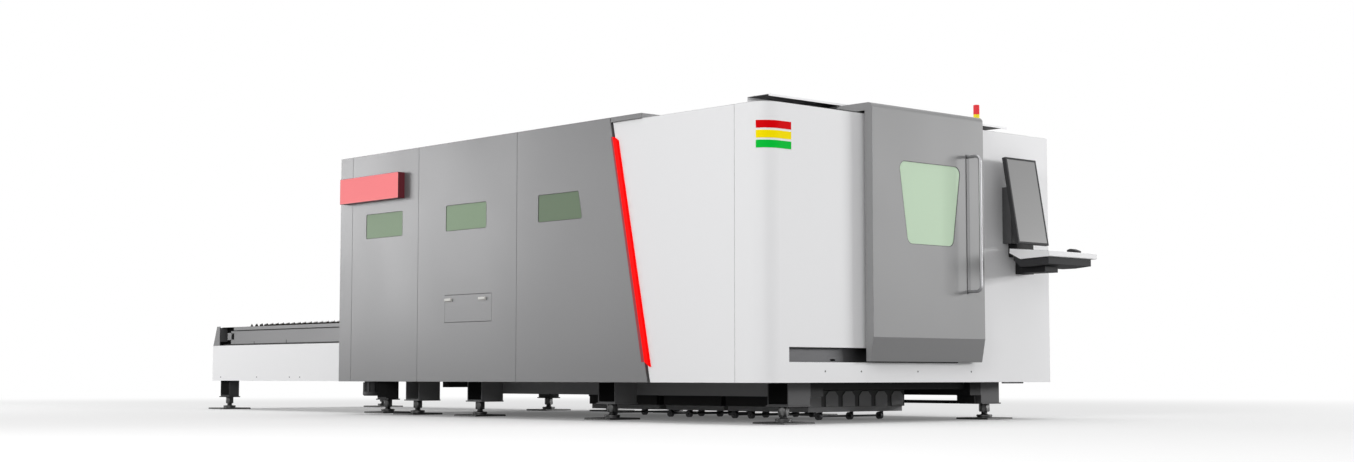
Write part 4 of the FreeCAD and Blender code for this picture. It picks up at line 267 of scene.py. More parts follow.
def mixed(tree, mask, first, second):
    """Colour that goes from the first to the second as the mask rises."""
    mix = add_node(tree, "ShaderNodeMix", data_type="RGBA", in_Factor=mask, in_A=first, in_B=second)
    return mix.outputs["Result"]


def own_place(tree):
    """Where a point lies in the object's own metres."""
    return add_node(tree, "ShaderNodeTexCoord").outputs["Object"]


def noise(tree, scale, detail=3.0, where=None):
    """Noise from 0 to 1: scale is how many of its waves lie in a metre."""
    where = own_place(tree) if where is None else where
    return add_node(
        tree, "ShaderNodeTexNoise", in_Vector=where, in_Scale=scale, in_Detail=detail
    ).outputs["Fac"]


def swing(tree, value, amount):
    """A value from 0 to 1 made to swing about zero: (value - 0.5) times amount."""
    return maths(tree, "MULTIPLY", maths(tree, "SUBTRACT", value, 0.5), amount)


print("a mid grey is", grey(0.5))

# %% [markdown]
# ## Zones
#
# Some pieces take painted light and painted shade in a region: faces that look down or sideways,
# the bed's inside and the carts' recesses are painted darker where shade falls, and faces
# that catch light are painted lighter. A zone is a mask that is one in a region, such as
# before a plane, or where the surface looks down, and it reads only the object's own
# coordinates and its true normal. Each function here makes such a zone from a few numbers,
# and the zone is built later, inside the material that it belongs to.
#
# %% Masks of regions
ALONG_ENOUGH = 0.7


def part_of(tree, vector, axis):
    """The X, Y or Z of a vector."""
    return add_node(tree, "ShaderNodeSeparateXYZ", in_Vector=vector).outputs[axis]


def along(tree, axis):
    """The object's own coordinate along X, Y or Z, in metres."""
    return part_of(tree, own_place(tree), axis)


def facing_along(tree, axis, normal="True Normal"):
    """How far the surface looks along X, Y or Z, from -1 to 1."""
    surface = add_node(tree, "ShaderNodeNewGeometry")
    return part_of(tree, surface.outputs[normal], axis)


def before(axis, limit):
    """A zone that is one where the coordinate along the axis is less than the limit."""
    return lambda tree: maths(tree, "LESS_THAN", along(tree, axis), limit)


def leaning_down(limit):
    """A zone that is one where the surface looks down by more than the limit, straight down being 1."""
    return lambda tree: maths(tree, "LESS_THAN", facing_along(tree, "Z"), -limit)


def facing_either_way(axis):
    """A zone that is one where the surface looks along the axis, forwards or backwards."""
    return lambda tree: maths(
        tree, "GREATER_THAN", maths(tree, "ABSOLUTE", facing_along(tree, axis)), ALONG_ENOUGH
    )


def zoned(tree, colour, zone, zone_colour):
    """A colour that gives way to the zone's colour inside the zone, if there is a zone."""
    return mixed(tree, zone(tree), colour, zone_colour) if zone else colour


print("a face looks along an axis within", round(np.degrees(np.arccos(ALONG_ENOUGH))), "degrees of it")

# %% [markdown]
# ## Powder coat
#
# The cabin sheets are powder coated: the powder melts into a skin with a fine orange peel,
# a hint of speckle, and a tone that wanders a little over a large sheet. Painting that as an
# image would fix its scale; noise in metres stays right on every sheet. One broad noise
# moves the tone, one fine noise makes the peel, and both come out of one group. A group is
# built once, with names for what goes in and what comes out, and placed in many materials.
#
# %% Powder coat group
SOCKET_KINDS = {1: "NodeSocketFloat", 3: "NodeSocketVector", 4: "NodeSocketColor"}
BROAD_WAVES, SHEEN_SWING = 0.9, 0.12


def new_group(name, inputs, outputs):
    """An empty node group, what it is given and the node for its results. Inputs are names with
    their usual values, outputs names with how many numbers each has: 1, 3 or 4 for a colour."""
    tree = bpy.data.node_groups.new(name, "ShaderNodeTree")
    for socket, value in inputs.items():
        kind = SOCKET_KINDS[np.size(value)]
        tree.interface.new_socket(socket, in_out="INPUT", socket_type=kind).default_value = value
    for socket, numbers in outputs.items():
        tree.interface.new_socket(socket, in_out="OUTPUT", socket_type=SOCKET_KINDS[numbers])
    return tree, add_node(tree, "NodeGroupInput").outputs, add_node(tree, "NodeGroupOutput")


def powder_coat_group():
    """Colour = base times (1 + drift times broad noise + speckle times fine noise);
    height = the peel; roughness = base roughness plus a little of the broad noise."""
    tree, given, result = new_group(
        "powder coat",
        {"Colour": grey(0.8), "Drift": 0.03, "Speckle": 0.03, "Peel Scale": 420.0, "Gloss": 0.4},
        {"Colour": 4, "Roughness": 1, "Height": 1},
    )
    broad = noise(tree, BROAD_WAVES, detail=2.0)
    fine = noise(tree, given["Peel Scale"], detail=2.0)
    moved = maths(tree, "ADD", swing(tree, broad, given["Drift"]), swing(tree, fine, given["Speckle"]))
    shade = tinted(tree, given["Colour"], maths(tree, "ADD", moved, 1.0))
    rough = maths(tree, "ADD", given["Gloss"], swing(tree, broad, SHEEN_SWING))
    feed(tree, result, Colour=shade, Roughness=rough, Height=fine)
    return tree


POWDER_COAT = powder_coat_group()
print("powder coat group has", len(POWDER_COAT.nodes), "nodes")

# %% [markdown]
# ## Broken edges
#
# Folded and sawn sheet never has a knife edge: the coat draws back from it and the fold
# catches light. The Bevel node looks at the neighbouring faces and gives a rounded normal
# there. Where that normal leaves the true one, there is an edge, and the same difference
# is the mask along which a joint darkens the paint and metal shines.
#
# %% Edge group
def edge_group():
    """Normal = the rounded normal; mask = how far it leaves the true one, times strength."""
    tree, given, result = new_group(
        "broken edge", {"Radius": 0.002, "Strength": 3.0}, {"Normal": 3, "Mask": 1}
    )
    rounded = add_node(tree, "ShaderNodeBevel", samples=3, in_Radius=given["Radius"]).outputs["Normal"]
    surface = add_node(tree, "ShaderNodeNewGeometry")
    agree = add_node(tree, "ShaderNodeVectorMath", operation="DOT_PRODUCT")
    supply(tree, agree.inputs[0], rounded)
    supply(tree, agree.inputs[1], surface.outputs["Normal"])
    away = maths(tree, "SUBTRACT", 1.0, agree.outputs["Value"])
    mask = maths(tree, "MULTIPLY", away, given["Strength"], clamp=True)
    feed(tree, result, Normal=rounded, Mask=mask)
    return tree


BROKEN_EDGE = edge_group()
print("broken edge group has", len(BROKEN_EDGE.nodes), "nodes")

# %% [markdown]
# ## Ground dust
#
# A workshop floor throws grey dust on everything near it. The mask is one at the floor and
# fades out 0.3 m above it, broken up by noise, and it settles most on faces that look up and
# not at all on those that look straight down, as dust does.
#
# %% Dust group
DUST_WAVES = 14.0


def dust_group():
    """Mask = clamp(1 - height / reach) times noise times how far the face looks up, times amount."""
    tree, given, result = new_group("ground dust", {"Reach": 0.3, "Amount": 0.5}, {"Mask": 1})
    height = maths(tree, "DIVIDE", along(tree, "Z"), given["Reach"])
    near = maths(tree, "SUBTRACT", 1.0, height, clamp=True)
    upwards = maths(tree, "MULTIPLY", facing_along(tree, "Z", "Normal"), 0.5)
    lies = maths(tree, "ADD", upwards, 0.5, clamp=True)
    patches = noise(tree, DUST_WAVES, detail=4.0)
    broken = maths(tree, "MULTIPLY", patches, maths(tree, "MULTIPLY", near, lies))
    feed(tree, result, Mask=maths(tree, "MULTIPLY", broken, given["Amount"], clamp=True))
    return tree


GROUND_DUST = dust_group()
print("ground dust group has", len(GROUND_DUST.nodes), "nodes")

# %% [markdown]
# ## Worked metal
#
# Ground, drawn and brushed steel all show lines that run one way. Noise that changes slowly
# along one axis and fast along the others gives those lines. They change the roughness and
# the height a little, and the colour less, because steel is judged by its shine.
#
# %% Worked metal group
LINE_WAVES = 12.0


def worked_metal_group():
    """Lines = noise whose place is stretched by a vector; the colour is its base times (1 + the
    lines' swing), the roughness its base plus the same swing, and the height the lines."""
    tree, given, result = new_group(
        "worked metal",
        {"Colour": grey(0.5), "Stretch": (1.0, 60.0, 60.0), "Gloss": 0.35, "Contrast": 0.15},
        {"Colour": 4, "Roughness": 1, "Height": 1},
    )
    spread = add_node(tree, "ShaderNodeMapping", in_Vector=own_place(tree), in_Scale=given["Stretch"])
    lines = noise(tree, LINE_WAVES, detail=4.0, where=spread.outputs["Vector"])
    moved = swing(tree, lines, given["Contrast"])
    shade = tinted(tree, given["Colour"], maths(tree, "ADD", moved, 1.0))
    rough = maths(tree, "ADD", given["Gloss"], moved)
    feed(tree, result, Colour=shade, Roughness=rough, Height=lines)
    return tree


WORKED_METAL = worked_metal_group()
print("worked metal group has", len(WORKED_METAL.nodes), "nodes")

# %% [markdown]
# ## A finish
#
# Each finish keeps its own shader. These helpers lay out the common part: a Principled
# shader whose plain numbers stand on its own sockets, the groups placed in it, and a bump of
# a chosen depth, so that the finishes below only say what makes them different.
#
# %% Start and cover a finish
def new_finish(name, **values):
    """A material, its network and its Principled shader, whose inputs are set by name."""
    finish = bpy.data.materials.new(name)
    finish.use_nodes = True
    tree = finish.node_tree
    shader = tree.nodes["Principled BSDF"]
    feed(tree, shader, **values)
    print("finish:", name)
    return finish, tree, shader


def place_group(tree, group, **values):
    """A group placed in a material, with its inputs fed by name. Returns its outputs."""
    node = add_node(tree, "ShaderNodeGroup", node_tree=group)
    feed(tree, node, **values)
    return node.outputs


def cover(tree, shader, colour, rough, height, depth, normal=None):
    """Feeds the shader its colour, its roughness and the height's bump, which is so many metres
    deep and may start from a rounded normal."""
    bump = add_node(tree, "ShaderNodeBump", in_Distance=depth, in_Strength=1.0, in_Height=height)
    if normal is not None:
        feed(tree, bump, Normal=normal)
    feed(tree, shader, Base_Color=colour, Roughness=rough, Normal=bump.outputs["Normal"])


# %% [markdown]
# ## Painted sheet
#
# Cabin, door, frame, bed, carts and console are all painted, each in its own coat. The coats
# share one recipe with other numbers: the powder coat, an edge tone along folds and joints,
# and dust near the floor. The edge tone is dark on the white and the grey panels, where the
# joints between sheets draw thin dark lines, and close to the coat's own tone elsewhere.
#
# %% Paint recipe
DUST_COLOUR = (0.30, 0.29, 0.27, 1.0)
PAINT_RIM = 0.0035


def paint(
    name, colour, gloss, metallic=0.0, peel=0.00006, edge=1.0, edge_tone=1.25, dust=0.25, drift=0.03,
    shine=0.45, zone=None, zone_colour=None,
):
    """Powder coat over sheet: coat colour, mixed to its edge tone on edges and to dust below.
    A zone brings in the zone's colour: painted light and shade in that region."""
    finish, tree, shader = new_finish(name, Metallic=metallic, Specular_IOR_Level=shine)
    usual = zoned(tree, colour, zone, zone_colour)
    coat = place_group(tree, POWDER_COAT, Colour=usual, Gloss=gloss, Drift=drift)
    rim = place_group(tree, BROKEN_EDGE, Radius=PAINT_RIM, Strength=edge)
    dirt = place_group(tree, GROUND_DUST, Amount=dust)
    shown = mixed(tree, rim["Mask"], coat["Colour"], toned(colour, edge_tone))
    shown = mixed(tree, dirt["Mask"], shown, DUST_COLOUR)
    cover(tree, shader, shown, coat["Roughness"], coat["Height"], peel, rim["Normal"])
    return finish


print("painted edges are", 1000 * PAINT_RIM, "mm wide")

# %% [markdown]
# ## Painted light and shade on the bed and the carts
#
# The bed's frame is one welded piece: its inner faces are near black as painted shade under
# the machine, and its brackets and outer faces are grey as painted light, less so on the
# foremost brackets, which get more real light. The carts' front panels and chassis are pale as
# painted light, the wall behind the panels darker and the bins near black as painted shade.
# Each of these pieces gets one coat with a zone: a plane or two, placed by the machine's
# middle or by the piece's own box, part the colours.
#
# %% Zones of the bed and the carts
BED_HALF_WIDTH, FRONT_BRACKET_END, FRONT_BRACKET_SHADE = 0.985, 0.450, 0.6
CART_PANEL, CART_WALL, CART_CHASSIS_TOP, CART_WALL_TONE = 0.001, 0.0135, 0.105, 0.3
carts_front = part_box("slag_carts")[0].y


def bed_painted_light(tree):
    """One beyond the bed beams' inner planes, where brackets and outer faces take the grey of
    painted light, and less on the foremost brackets, which get more real light."""
    from_middle = maths(tree, "ABSOLUTE", maths(tree, "SUBTRACT", along(tree, "X"), MIDDLE_X))
    outer = maths(tree, "GREATER_THAN", from_middle, BED_HALF_WIDTH)
    foremost = before("Y", place(0.0, FRONT_BRACKET_END, 0.0)[1])(tree)
    shade = maths(tree, "MULTIPLY", foremost, FRONT_BRACKET_SHADE)
    return maths(tree, "MULTIPLY", outer, maths(tree, "SUBTRACT", 1.0, shade))


def cart_painted_light(tree):
    """One on the foremost panels' faces and on the chassis below the bins, a third on the wall
    behind the panels: the pale zone is painted light, and the darker wall is painted shade."""
    panel = before("Y", carts_front + CART_PANEL)(tree)
    wall = maths(tree, "MULTIPLY", before("Y", carts_front + CART_WALL)(tree), CART_WALL_TONE)
    chassis = before("Z", CART_CHASSIS_TOP)(tree)
    return maths(tree, "MAXIMUM", maths(tree, "MAXIMUM", panel, wall), chassis)


print("the carts' front panels stand at y", round(carts_front, 3), "m")

# %% [markdown]
# ## The coats
#
# This is the paint shop's shelf. White and grey panels have a soft satin gloss, the door is a
# lighter grey whose lower bevel leans towards the ground and is painted darker as painted
# shade, and frame, bed, carts and console are near black, with painted light and shade in
# zones on frame, bed and carts. The track cover's underside is painted near black as painted
# shade. The grey panels hold metal flakes, so they answer to the light.
#
# %% Coats
WHITE = grey(0.93, 0.94)
WHITE_COAT = paint(
    "white powder coat", WHITE, gloss=0.5, drift=0.015, dust=0.05, shine=0.15, edge=4.0, edge_tone=0.3
)
# The track cover's faces that look down are painted near black: painted shade on its underside.
COVER_COAT = paint(
    "track cover coat, underside in painted shade", WHITE, gloss=0.5, drift=0.015, dust=0.0, shine=0.15, edge_tone=0.9,
    zone=leaning_down(0.3), zone_colour=grey(0.012, 0.013),
)
SKIRT_COAT = paint(
    "table skirt coat", grey(0.99, 1.0), gloss=0.5, drift=0.015, dust=0.05, shine=0.2, edge_tone=0.8
)
GREY_COAT = paint("grey powder coat", grey(0.192, 0.195), gloss=0.42, metallic=0.5, edge=4.0, edge_tone=0.25)
# The door's lower bevel, which looks down, is painted darker: painted shade.
DOOR_COAT = paint(
    "door powder coat, bevel in painted shade", grey(0.275, 0.278), gloss=0.5, edge_tone=0.9,
    zone=leaning_down(0.08), zone_colour=grey(0.20, 0.203),
)
# Faces that look sideways along X are painted darker: painted shade on the sides of the frame.
FRAME_COAT = paint(
    "black frame coat, sides in painted shade", grey(0.075, 0.077), gloss=0.6, dust=0.1, peel=0.00012, shine=0.2,
    zone=facing_either_way("X"), zone_colour=grey(0.030, 0.031),
)
# Near black inside as painted shade, grey on brackets and outer faces as painted light.
BED_COAT = paint(
    "bed coat in painted light and shade", grey(0.010, 0.011), gloss=0.6, dust=0.15, peel=0.00012, shine=0.25,
    zone=bed_painted_light, zone_colour=grey(0.30, 0.307),
)
# Near black bins as painted shade, pale front panels and chassis as painted light.
CART_COAT = paint(
    "cart coat in painted light and shade", grey(0.025, 0.026), gloss=0.6, dust=0.1, peel=0.00012, shine=0.3,
    zone=cart_painted_light, zone_colour=grey(0.50, 0.51),
)
# Near black without dust: painted shade for openings and recesses where only shade is seen.
PAINTED_SHADE_COAT = paint("painted shade for openings", grey(0.006), gloss=0.8, dust=0.0, shine=0.05, edge_tone=1.0)
CASE_COAT = paint("console coat", grey(0.085, 0.088), gloss=0.5, dust=0.0, shine=0.3)
ARM_COAT = paint("console arm coat", grey(0.016, 0.017), gloss=0.6, dust=0.0, shine=0.15)
TRAY_COAT = paint("tray body coat", grey(0.045, 0.047), gloss=0.65, dust=0.0, shine=0.12)

# %% [markdown]
# ## Bare metal
#
# Guide rails and shafts are ground, gate and chutes are mill sheet, floor plates are flame
# cut and a little dull. All take the worked metal group with their own direction, gloss and
# tint, and their edges are bright, because wear keeps them free of oxide.
#
# %% Metal recipe
METAL_RIM, METAL_EDGE, METAL_EDGE_TONE, LINE_DEPTH = 0.0015, 0.8, 1.5, 0.00005
ALONG_X, ALONG_Y, ALONG_Z = (1.0, 40.0, 40.0), (40.0, 1.0, 40.0), (40.0, 40.0, 1.0)
EVERY_WAY = (3.0, 3.0, 3.0)


def metal(name, colour, gloss, stretch, contrast=0.2):
    """Worked metal with bright edges: lines along the axis whose stretch is smallest."""
    finish, tree, shader = new_finish(name, Metallic=1.0)
    work = place_group(tree, WORKED_METAL, Colour=colour, Gloss=gloss, Stretch=stretch, Contrast=contrast)
    rim = place_group(tree, BROKEN_EDGE, Radius=METAL_RIM, Strength=METAL_EDGE)
    shown = mixed(tree, rim["Mask"], work["Colour"], toned(colour, METAL_EDGE_TONE))
    cover(tree, shader, shown, work["Roughness"], work["Height"], LINE_DEPTH, rim["Normal"])
    return finish


GROUND_STEEL = metal("ground steel", grey(0.52, 0.53), gloss=0.28, stretch=ALONG_Y)
SHAFT_STEEL = metal("turned shaft steel", grey(0.50, 0.51), gloss=0.30, stretch=ALONG_X)
MILL_SHEET = metal("mill sheet", grey(0.38, 0.39), gloss=0.42, stretch=ALONG_Y)
PLATE_STEEL = metal("floor plate steel", grey(0.10), gloss=0.5, stretch=EVERY_WAY, contrast=0.4)
SCREW_STEEL = metal("blackened screw steel", grey(0.12), gloss=0.4, stretch=ALONG_Z)
TRACK_STEEL = metal("blackened track steel", grey(0.085, 0.088), gloss=0.5, stretch=ALONG_X)
ALUMINIUM = metal("milled aluminium", grey(0.62, 0.63), gloss=0.35, stretch=ALONG_X)

# %% [markdown]
# ## Burnt slats
#
# Every cut through a sheet also nicks the slats below it. They are dark with oxide, brown in
# blotches and speckled with frozen spatter, so a cell texture adds small beads.
#
# %% Slat finish
OXIDE, BURNT_BROWN = (0.012, 0.011, 0.010, 1.0), (0.035, 0.028, 0.022, 1.0)
BLOTCH_WAVES, BEAD_WAVES, BEAD_SIZE, BEAD_RISE = 22.0, 160.0, 0.35, 0.001


def slat_finish():
    """Colour from oxide to brown by noise; roughness = 0.4 plus 0.3 times the same noise; beads
    where the distance to a cell's middle is less than the bead's size."""
    finish, tree, shader = new_finish("burnt slat steel", Metallic=0.2, Specular_IOR_Level=0.1)
    blotch = noise(tree, BLOTCH_WAVES, detail=5.0)
    cells = add_node(tree, "ShaderNodeTexVoronoi", in_Vector=own_place(tree), in_Scale=BEAD_WAVES)
    bead = maths(tree, "SUBTRACT", BEAD_SIZE, cells.outputs["Distance"], clamp=True)
    rough = maths(tree, "ADD", maths(tree, "MULTIPLY", blotch, 0.3), 0.4)
    cover(tree, shader, mixed(tree, blotch, OXIDE, BURNT_BROWN), rough, bead, BEAD_RISE)
    return finish


SLAT_STEEL = slat_finish()

# %% [markdown]
# ## The handle's two finishes
#
# The door's handle is a satin chromed bar on a strip that is screwed to the door. Both
# are one piece, so a plane just in front of the strip divides them: before it lies the bar's
# chrome, and behind it the strip is painted dark grey and rough, as painted shadow of the bar
# on the strip. The bar's lines run up and down, and they are so shallow that its round face
# keeps one even highlight.
#
# %% Handle finish
STRIP_THICK, STRIP_ROUGH = 0.0055, 0.6
strip_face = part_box("door_handle")[1].y - STRIP_THICK


def handle_finish():
    """Chrome before the strip's face, dark and rough behind it as painted shadow, by the Y coordinate."""
    finish, tree, shader = new_finish("chrome and painted shadow strip", Metallic=1.0)
    strip = maths(tree, "GREATER_THAN", along(tree, "Y"), strip_face)
    bar = place_group(
        tree, WORKED_METAL, Colour=grey(0.42, 0.43), Gloss=0.52, Stretch=ALONG_Z, Contrast=0.03
    )
    shown = mixed(tree, strip, bar["Colour"], grey(0.14, 0.142))
    rough = maths(tree, "MAXIMUM", bar["Roughness"], maths(tree, "MULTIPLY", strip, STRIP_ROUGH))
    cover(tree, shader, shown, rough, bar["Height"], depth=0.000002)
    return finish


HANDLE_METAL = handle_finish()

# %% [markdown]
# ## Laser glass
#
# The windows are thick acrylic dyed green against laser light: cloudy, so they show their own
# colour more than what is behind. Slow swirls from casting change the tone a little. A zone
# paints the foremost side pane darker: painted shade of the darker cabin behind it.
#
# %% Window finish
FRONT_PANE_END = 3.0
front_pane = before("Y", place(0.0, FRONT_PANE_END, 0.0)[1])


def window_finish(name, colour, zone=None, zone_colour=None):
    """Dyed acrylic: a rough green with some light let through, and slow swirls in its tone."""
    finish, tree, shader = new_finish(name, Transmission_Weight=0.15, IOR=1.49, Specular_IOR_Level=0.15)
    usual = zoned(tree, colour, zone, zone_colour)
    swirls = place_group(tree, POWDER_COAT, Colour=usual, Drift=0.08, Speckle=0.01, Peel_Scale=30.0)
    cover(tree, shader, swirls["Colour"], rough=0.45, height=swirls["Height"], depth=0.0001)
    return finish


DOOR_GLASS = window_finish("door window acrylic", (0.63, 0.83, 0.60, 1.0))
SIDE_GLASS = window_finish(
    "side window acrylic", (0.29, 0.41, 0.26, 1.0), zone=front_pane, zone_colour=(0.17, 0.24, 0.15, 1.0)
)

# %% [markdown]
# ## Plastics and rubber
#
# Seals, monitor case, mouse, grips and the rubber rest are moulded, and the dark lines on the
# table's rails are painted shade in the same black rubber finish. A mould is spark eroded, so
# even a black case has a fine grain, which keeps its highlights soft. The screen is switched
# off: a smooth grey sheet, without grain.
#
# %% Plastics
def plastic(name, colour, gloss, grain=900.0, depth=0.00005, shine=0.4):
    """Moulded plastic: even colour, fine erosion grain with so many waves in a metre."""
    finish, tree, shader = new_finish(name, Specular_IOR_Level=shine)
    skin = place_group(
        tree, POWDER_COAT, Colour=colour, Drift=0.04, Speckle=0.04, Peel_Scale=grain, Gloss=gloss
    )
    cover(tree, shader, skin["Colour"], skin["Roughness"], skin["Height"], depth)
    return finish


SEAL_RUBBER = plastic("grey seal rubber", grey(0.10), gloss=0.7, grain=500.0)
BLACK_PLASTIC = plastic("black plastic", grey(0.045, 0.047), gloss=0.6, shine=0.12)
# Also used for the thin strips of painted shade on the table's rails.
RUBBER_AND_SHADE_LINES = plastic("black rubber and painted shade lines", grey(0.020), gloss=0.7, grain=500.0)
SCREEN_GLASS = plastic("screen glass", grey(0.22), gloss=0.45, grain=200.0, depth=0.0)
SIGN_CASE = plastic("sign case lacquer", (0.16, 0.015, 0.025, 1.0), gloss=0.4)
# The dark red beside the diffuser is painted shade and painted red reflection.
RED_SHADE_PAINT = plastic("painted red shade and reflection", (0.34, 0.018, 0.028, 1.0), gloss=0.5)
NYLON = plastic("white nylon", (0.70, 0.69, 0.66, 1.0), gloss=0.45)

# %% [markdown]
# ## Lit plastic
#
# The red strip and the sign glow from within. Opal plastic spreads its lamps, yet the glow is
# never quite even, so the colour that it sheds wanders along its length. The sign's plate is
# cut from clear red stock, and its cut ends stay dark.
#
# %% Lit finishes
def lit(name, colour, strength, base, dark_ends=None):
    """Lit plastic: glows in its colour, a little stronger and weaker along its length. Its ends
    take the dark colour, if one is given."""
    finish, tree, shader = new_finish(name, Emission_Strength=strength, Specular_IOR_Level=0.05)
    ends = facing_either_way("Y") if dark_ends else None
    shed, seen = zoned(tree, colour, ends, dark_ends), zoned(tree, base, ends, dark_ends)
    glow = place_group(tree, POWDER_COAT, Colour=shed, Drift=0.12, Speckle=0.05, Peel_Scale=60.0)
    skin = place_group(tree, POWDER_COAT, Colour=seen, Drift=0.05, Peel_Scale=300.0)
    cover(tree, shader, skin["Colour"], rough=0.45, height=skin["Height"], depth=0.00005)
    feed(tree, shader, Emission_Color=glow["Colour"])
    return finish


RED_STRIP = lit("lit red strip", (1.0, 0.0, 0.0, 1.0), strength=0.85, base=(0.25, 0.0, 0.0, 1.0))
SIGN_PLATE = lit(
    "sign acrylic", (0.92, 0.24, 0.25, 1.0), strength=0.5, base=(0.60, 0.14, 0.15, 1.0),
    dark_ends=(0.17, 0.012, 0.02, 1.0),
)

# %% [markdown]
# ## Colours in levels
#
# The signal tower and the bands on the corner are sets of equal pieces whose colour only
# depends on height. A constant colour ramp over the Z coordinate paints them: the ramp's
# stops are shares of the height of the piece's box, so they fall in the gaps.
#
# %% Level finish
TONE_WAVES, TONE_SWING, GRAIN_WAVES = 25.0, 0.06, 600.0


def levels(name, node, stops, gloss, glow):
    """Colour by height: each stop is (share of the piece's height, colour). The tone swings up
    and down with noise."""
    low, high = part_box(node)
    # A faint glow in the ramp's own colours lifts every level; on the tower's grey foot, which is no lamp,
    # it is painted light.
    finish, tree, shader = new_finish(name, Specular_IOR_Level=0.02, Emission_Strength=glow)
    share = add_node(
        tree, "ShaderNodeMapRange", in_Value=along(tree, "Z"), in_From_Min=low.z, in_From_Max=high.z
    )
    ramp = add_node(tree, "ShaderNodeValToRGB", in_Fac=share.outputs["Result"])
    ramp.color_ramp.interpolation = "CONSTANT"
    elements = ramp.color_ramp.elements
    elements[0].position, elements[0].color = stops[0]
    elements[1].position, elements[1].color = stops[1]
    for position, colour in stops[2:]:
        elements.new(position).color = colour
    drift = maths(tree, "ADD", swing(tree, noise(tree, TONE_WAVES), TONE_SWING), 1.0)
    tone = add_node(tree, "ShaderNodeHueSaturation", in_Color=ramp.outputs["Color"], in_Value=drift)
    cover(tree, shader, tone.outputs["Color"], rough=gloss, height=noise(tree, GRAIN_WAVES), depth=0.00003)
    feed(tree, shader, Emission_Color=tone.outputs["Color"])
    return finish


RED, YELLOW, GREEN = (0.72, 0.001, 0.004, 1.0), (1.0, 0.80, 0.001, 1.0), (0.003, 0.55, 0.045, 1.0)
LENS_RED, LENS_YELLOW = (0.80, 0.06, 0.07, 1.0), (0.90, 0.75, 0.05, 1.0)
BAND_STOPS = [(0.0, GREEN), (0.32, YELLOW), (0.66, RED)]
TOWER_STOPS = [(0.0, grey(0.35, 0.36)), (0.0805, LENS_YELLOW), (0.540, LENS_RED)]
BAND_COLOURS = levels("status band colours", "status_bands", BAND_STOPS, gloss=0.5, glow=0.08)
TOWER_COLOURS = levels("signal tower colours", "signal_tower", TOWER_STOPS, gloss=0.3, glow=0.1)

# %% [markdown]
# ## Dress the frame
#
# Every carried piece gets its finish through its own material slot. The table below is the
# paint shop's list: a finish, and the pieces that leave the line in it.
#
# %% Finishes for the frame's pieces
AXLES = [f"cart_axle_{k}" for k in range(1, 7)]
DRESSED = {
    WHITE_COAT: ["front_wall", "white_panel_left", "white_panel_right", "tray_top", "roof_front"],
    COVER_COAT: ["track_cover"],
    SKIRT_COAT: ["table_skirts"],
    GREY_COAT: [
        "grey_panel_front_left", "grey_panel_middle_left", "grey_panel_rear_left", "grey_panels_right",
        "rear_wall", "roof_cap", "hatch_flap", "table_side_rails", "table_end",
    ],
    DOOR_COAT: ["door_shell"],
    FRAME_COAT: ["light_channel", "table_frame", "gantry_beam"],
    BED_COAT: ["bed_frame"],
    CART_COAT: ["slag_carts"],
    CASE_COAT: ["console_column", "exchange_motor"],
    TRAY_COAT: ["tray_body"],
    GROUND_STEEL: ["gantry_guide_rails", "pallet_ledges", "door_roller_left", "door_roller_right"],
    TRACK_STEEL: ["door_tracks", *AXLES],
    SHAFT_STEEL: ["drive_shaft", "idler_shaft"],
    MILL_SHEET: ["exchange_gate", "slag_chutes", "drive_chains"],
    PLATE_STEEL: ["floor_plates"],
    SCREW_STEEL: ["levelling_screws"],
    ALUMINIUM: ["cross_carriage", "cutting_head"],
    SLAT_STEEL: ["upper_pallet", "lower_pallet"],
    HANDLE_METAL: ["door_handle"],
    DOOR_GLASS: ["door_window"],
    SIDE_GLASS: ["side_windows"],
    RED_STRIP: ["light_strip"],
    SIGN_PLATE: ["sign_face"],
    SIGN_CASE: ["sign_case"],
    BLACK_PLASTIC: ["monitor_case", "mouse"],
    NYLON: ["hatch_grips"],
    SCREEN_GLASS: ["monitor_screen"],
    BAND_COLOURS: ["status_bands"],
    TOWER_COLOURS: ["signal_tower"],
}
for finish, names in DRESSED.items():
    for name in names:
        for socket in nodes[name].material_slots:
            socket.material = finish
bare = set(nodes) - {name for names in DRESSED.values() for name in names}
print("pieces without a finish:", sorted(bare))

# %% [markdown]
# ## Turned parts
#
# Screws, nuts and feet are turned: a profile of radius against height, swept round an axis.
# The radius may also depend on the angle, and that is all it takes to cut a thread or the
# six flats of a nut out of the same grid.
#
# %% Turning
def turned(radii, heights, steps):
    """Points (r cos a, r sin a, z) for rings of radius r at height z; radii may be an array of
    one radius per ring, or one per ring and angle."""
    angles = np.arange(steps) * (2 * np.pi / steps)
    radii = np.broadcast_to(np.asarray(radii, float).reshape(len(heights), -1), (len(heights), steps))
    x, y = radii * np.cos(angles), radii * np.sin(angles)
    z = np.broadcast_to(np.asarray(heights, float)[:, None], radii.shape)
    return np.stack([x, y, z], axis=-1), turned_quads(len(heights), steps)


def nut(flats, low, high, steps=48, chamfer=0.006, end=0.0004):
    """Hexagon nut: the radius is the smaller of the hexagon's, half the flats over the cosine of
    the angle to the nearest flat, and a cone's, which takes off the corners near both ends."""
    angles = np.arange(steps) * (2 * np.pi / steps)
    to_flat = np.mod(angles, np.pi / 3) - np.pi / 6
    hexagon = flats / 2 / np.cos(to_flat)
    heights = np.array([low, low + end, low + chamfer, high - chamfer, high - end, high])
    cone = flats / 2 * np.array([0.93, 1.0, 1.2, 1.2, 1.0, 0.93])
    return turned(np.minimum(hexagon[None], cone[:, None]), heights, steps)


def thread(radius, low, high, pitch=0.004, depth=0.0022, steps=20, rows_a_turn=4):
    """Screw thread: radius minus depth times a triangle wave of height over pitch minus the turn."""
    angles = np.arange(steps) / steps
    heights = np.linspace(low, high, max(3, int((high - low) / pitch * rows_a_turn) + 1))
    phase = np.mod(heights[:, None] / pitch - angles[None], 1.0)
    return turned(radius - depth * np.abs(2 * phase - 1), heights, steps)


print("a turned ring of 8 steps has", len(turned([1.0, 1.0], [0.0, 1.0], 8)[1]), "faces with its ends")

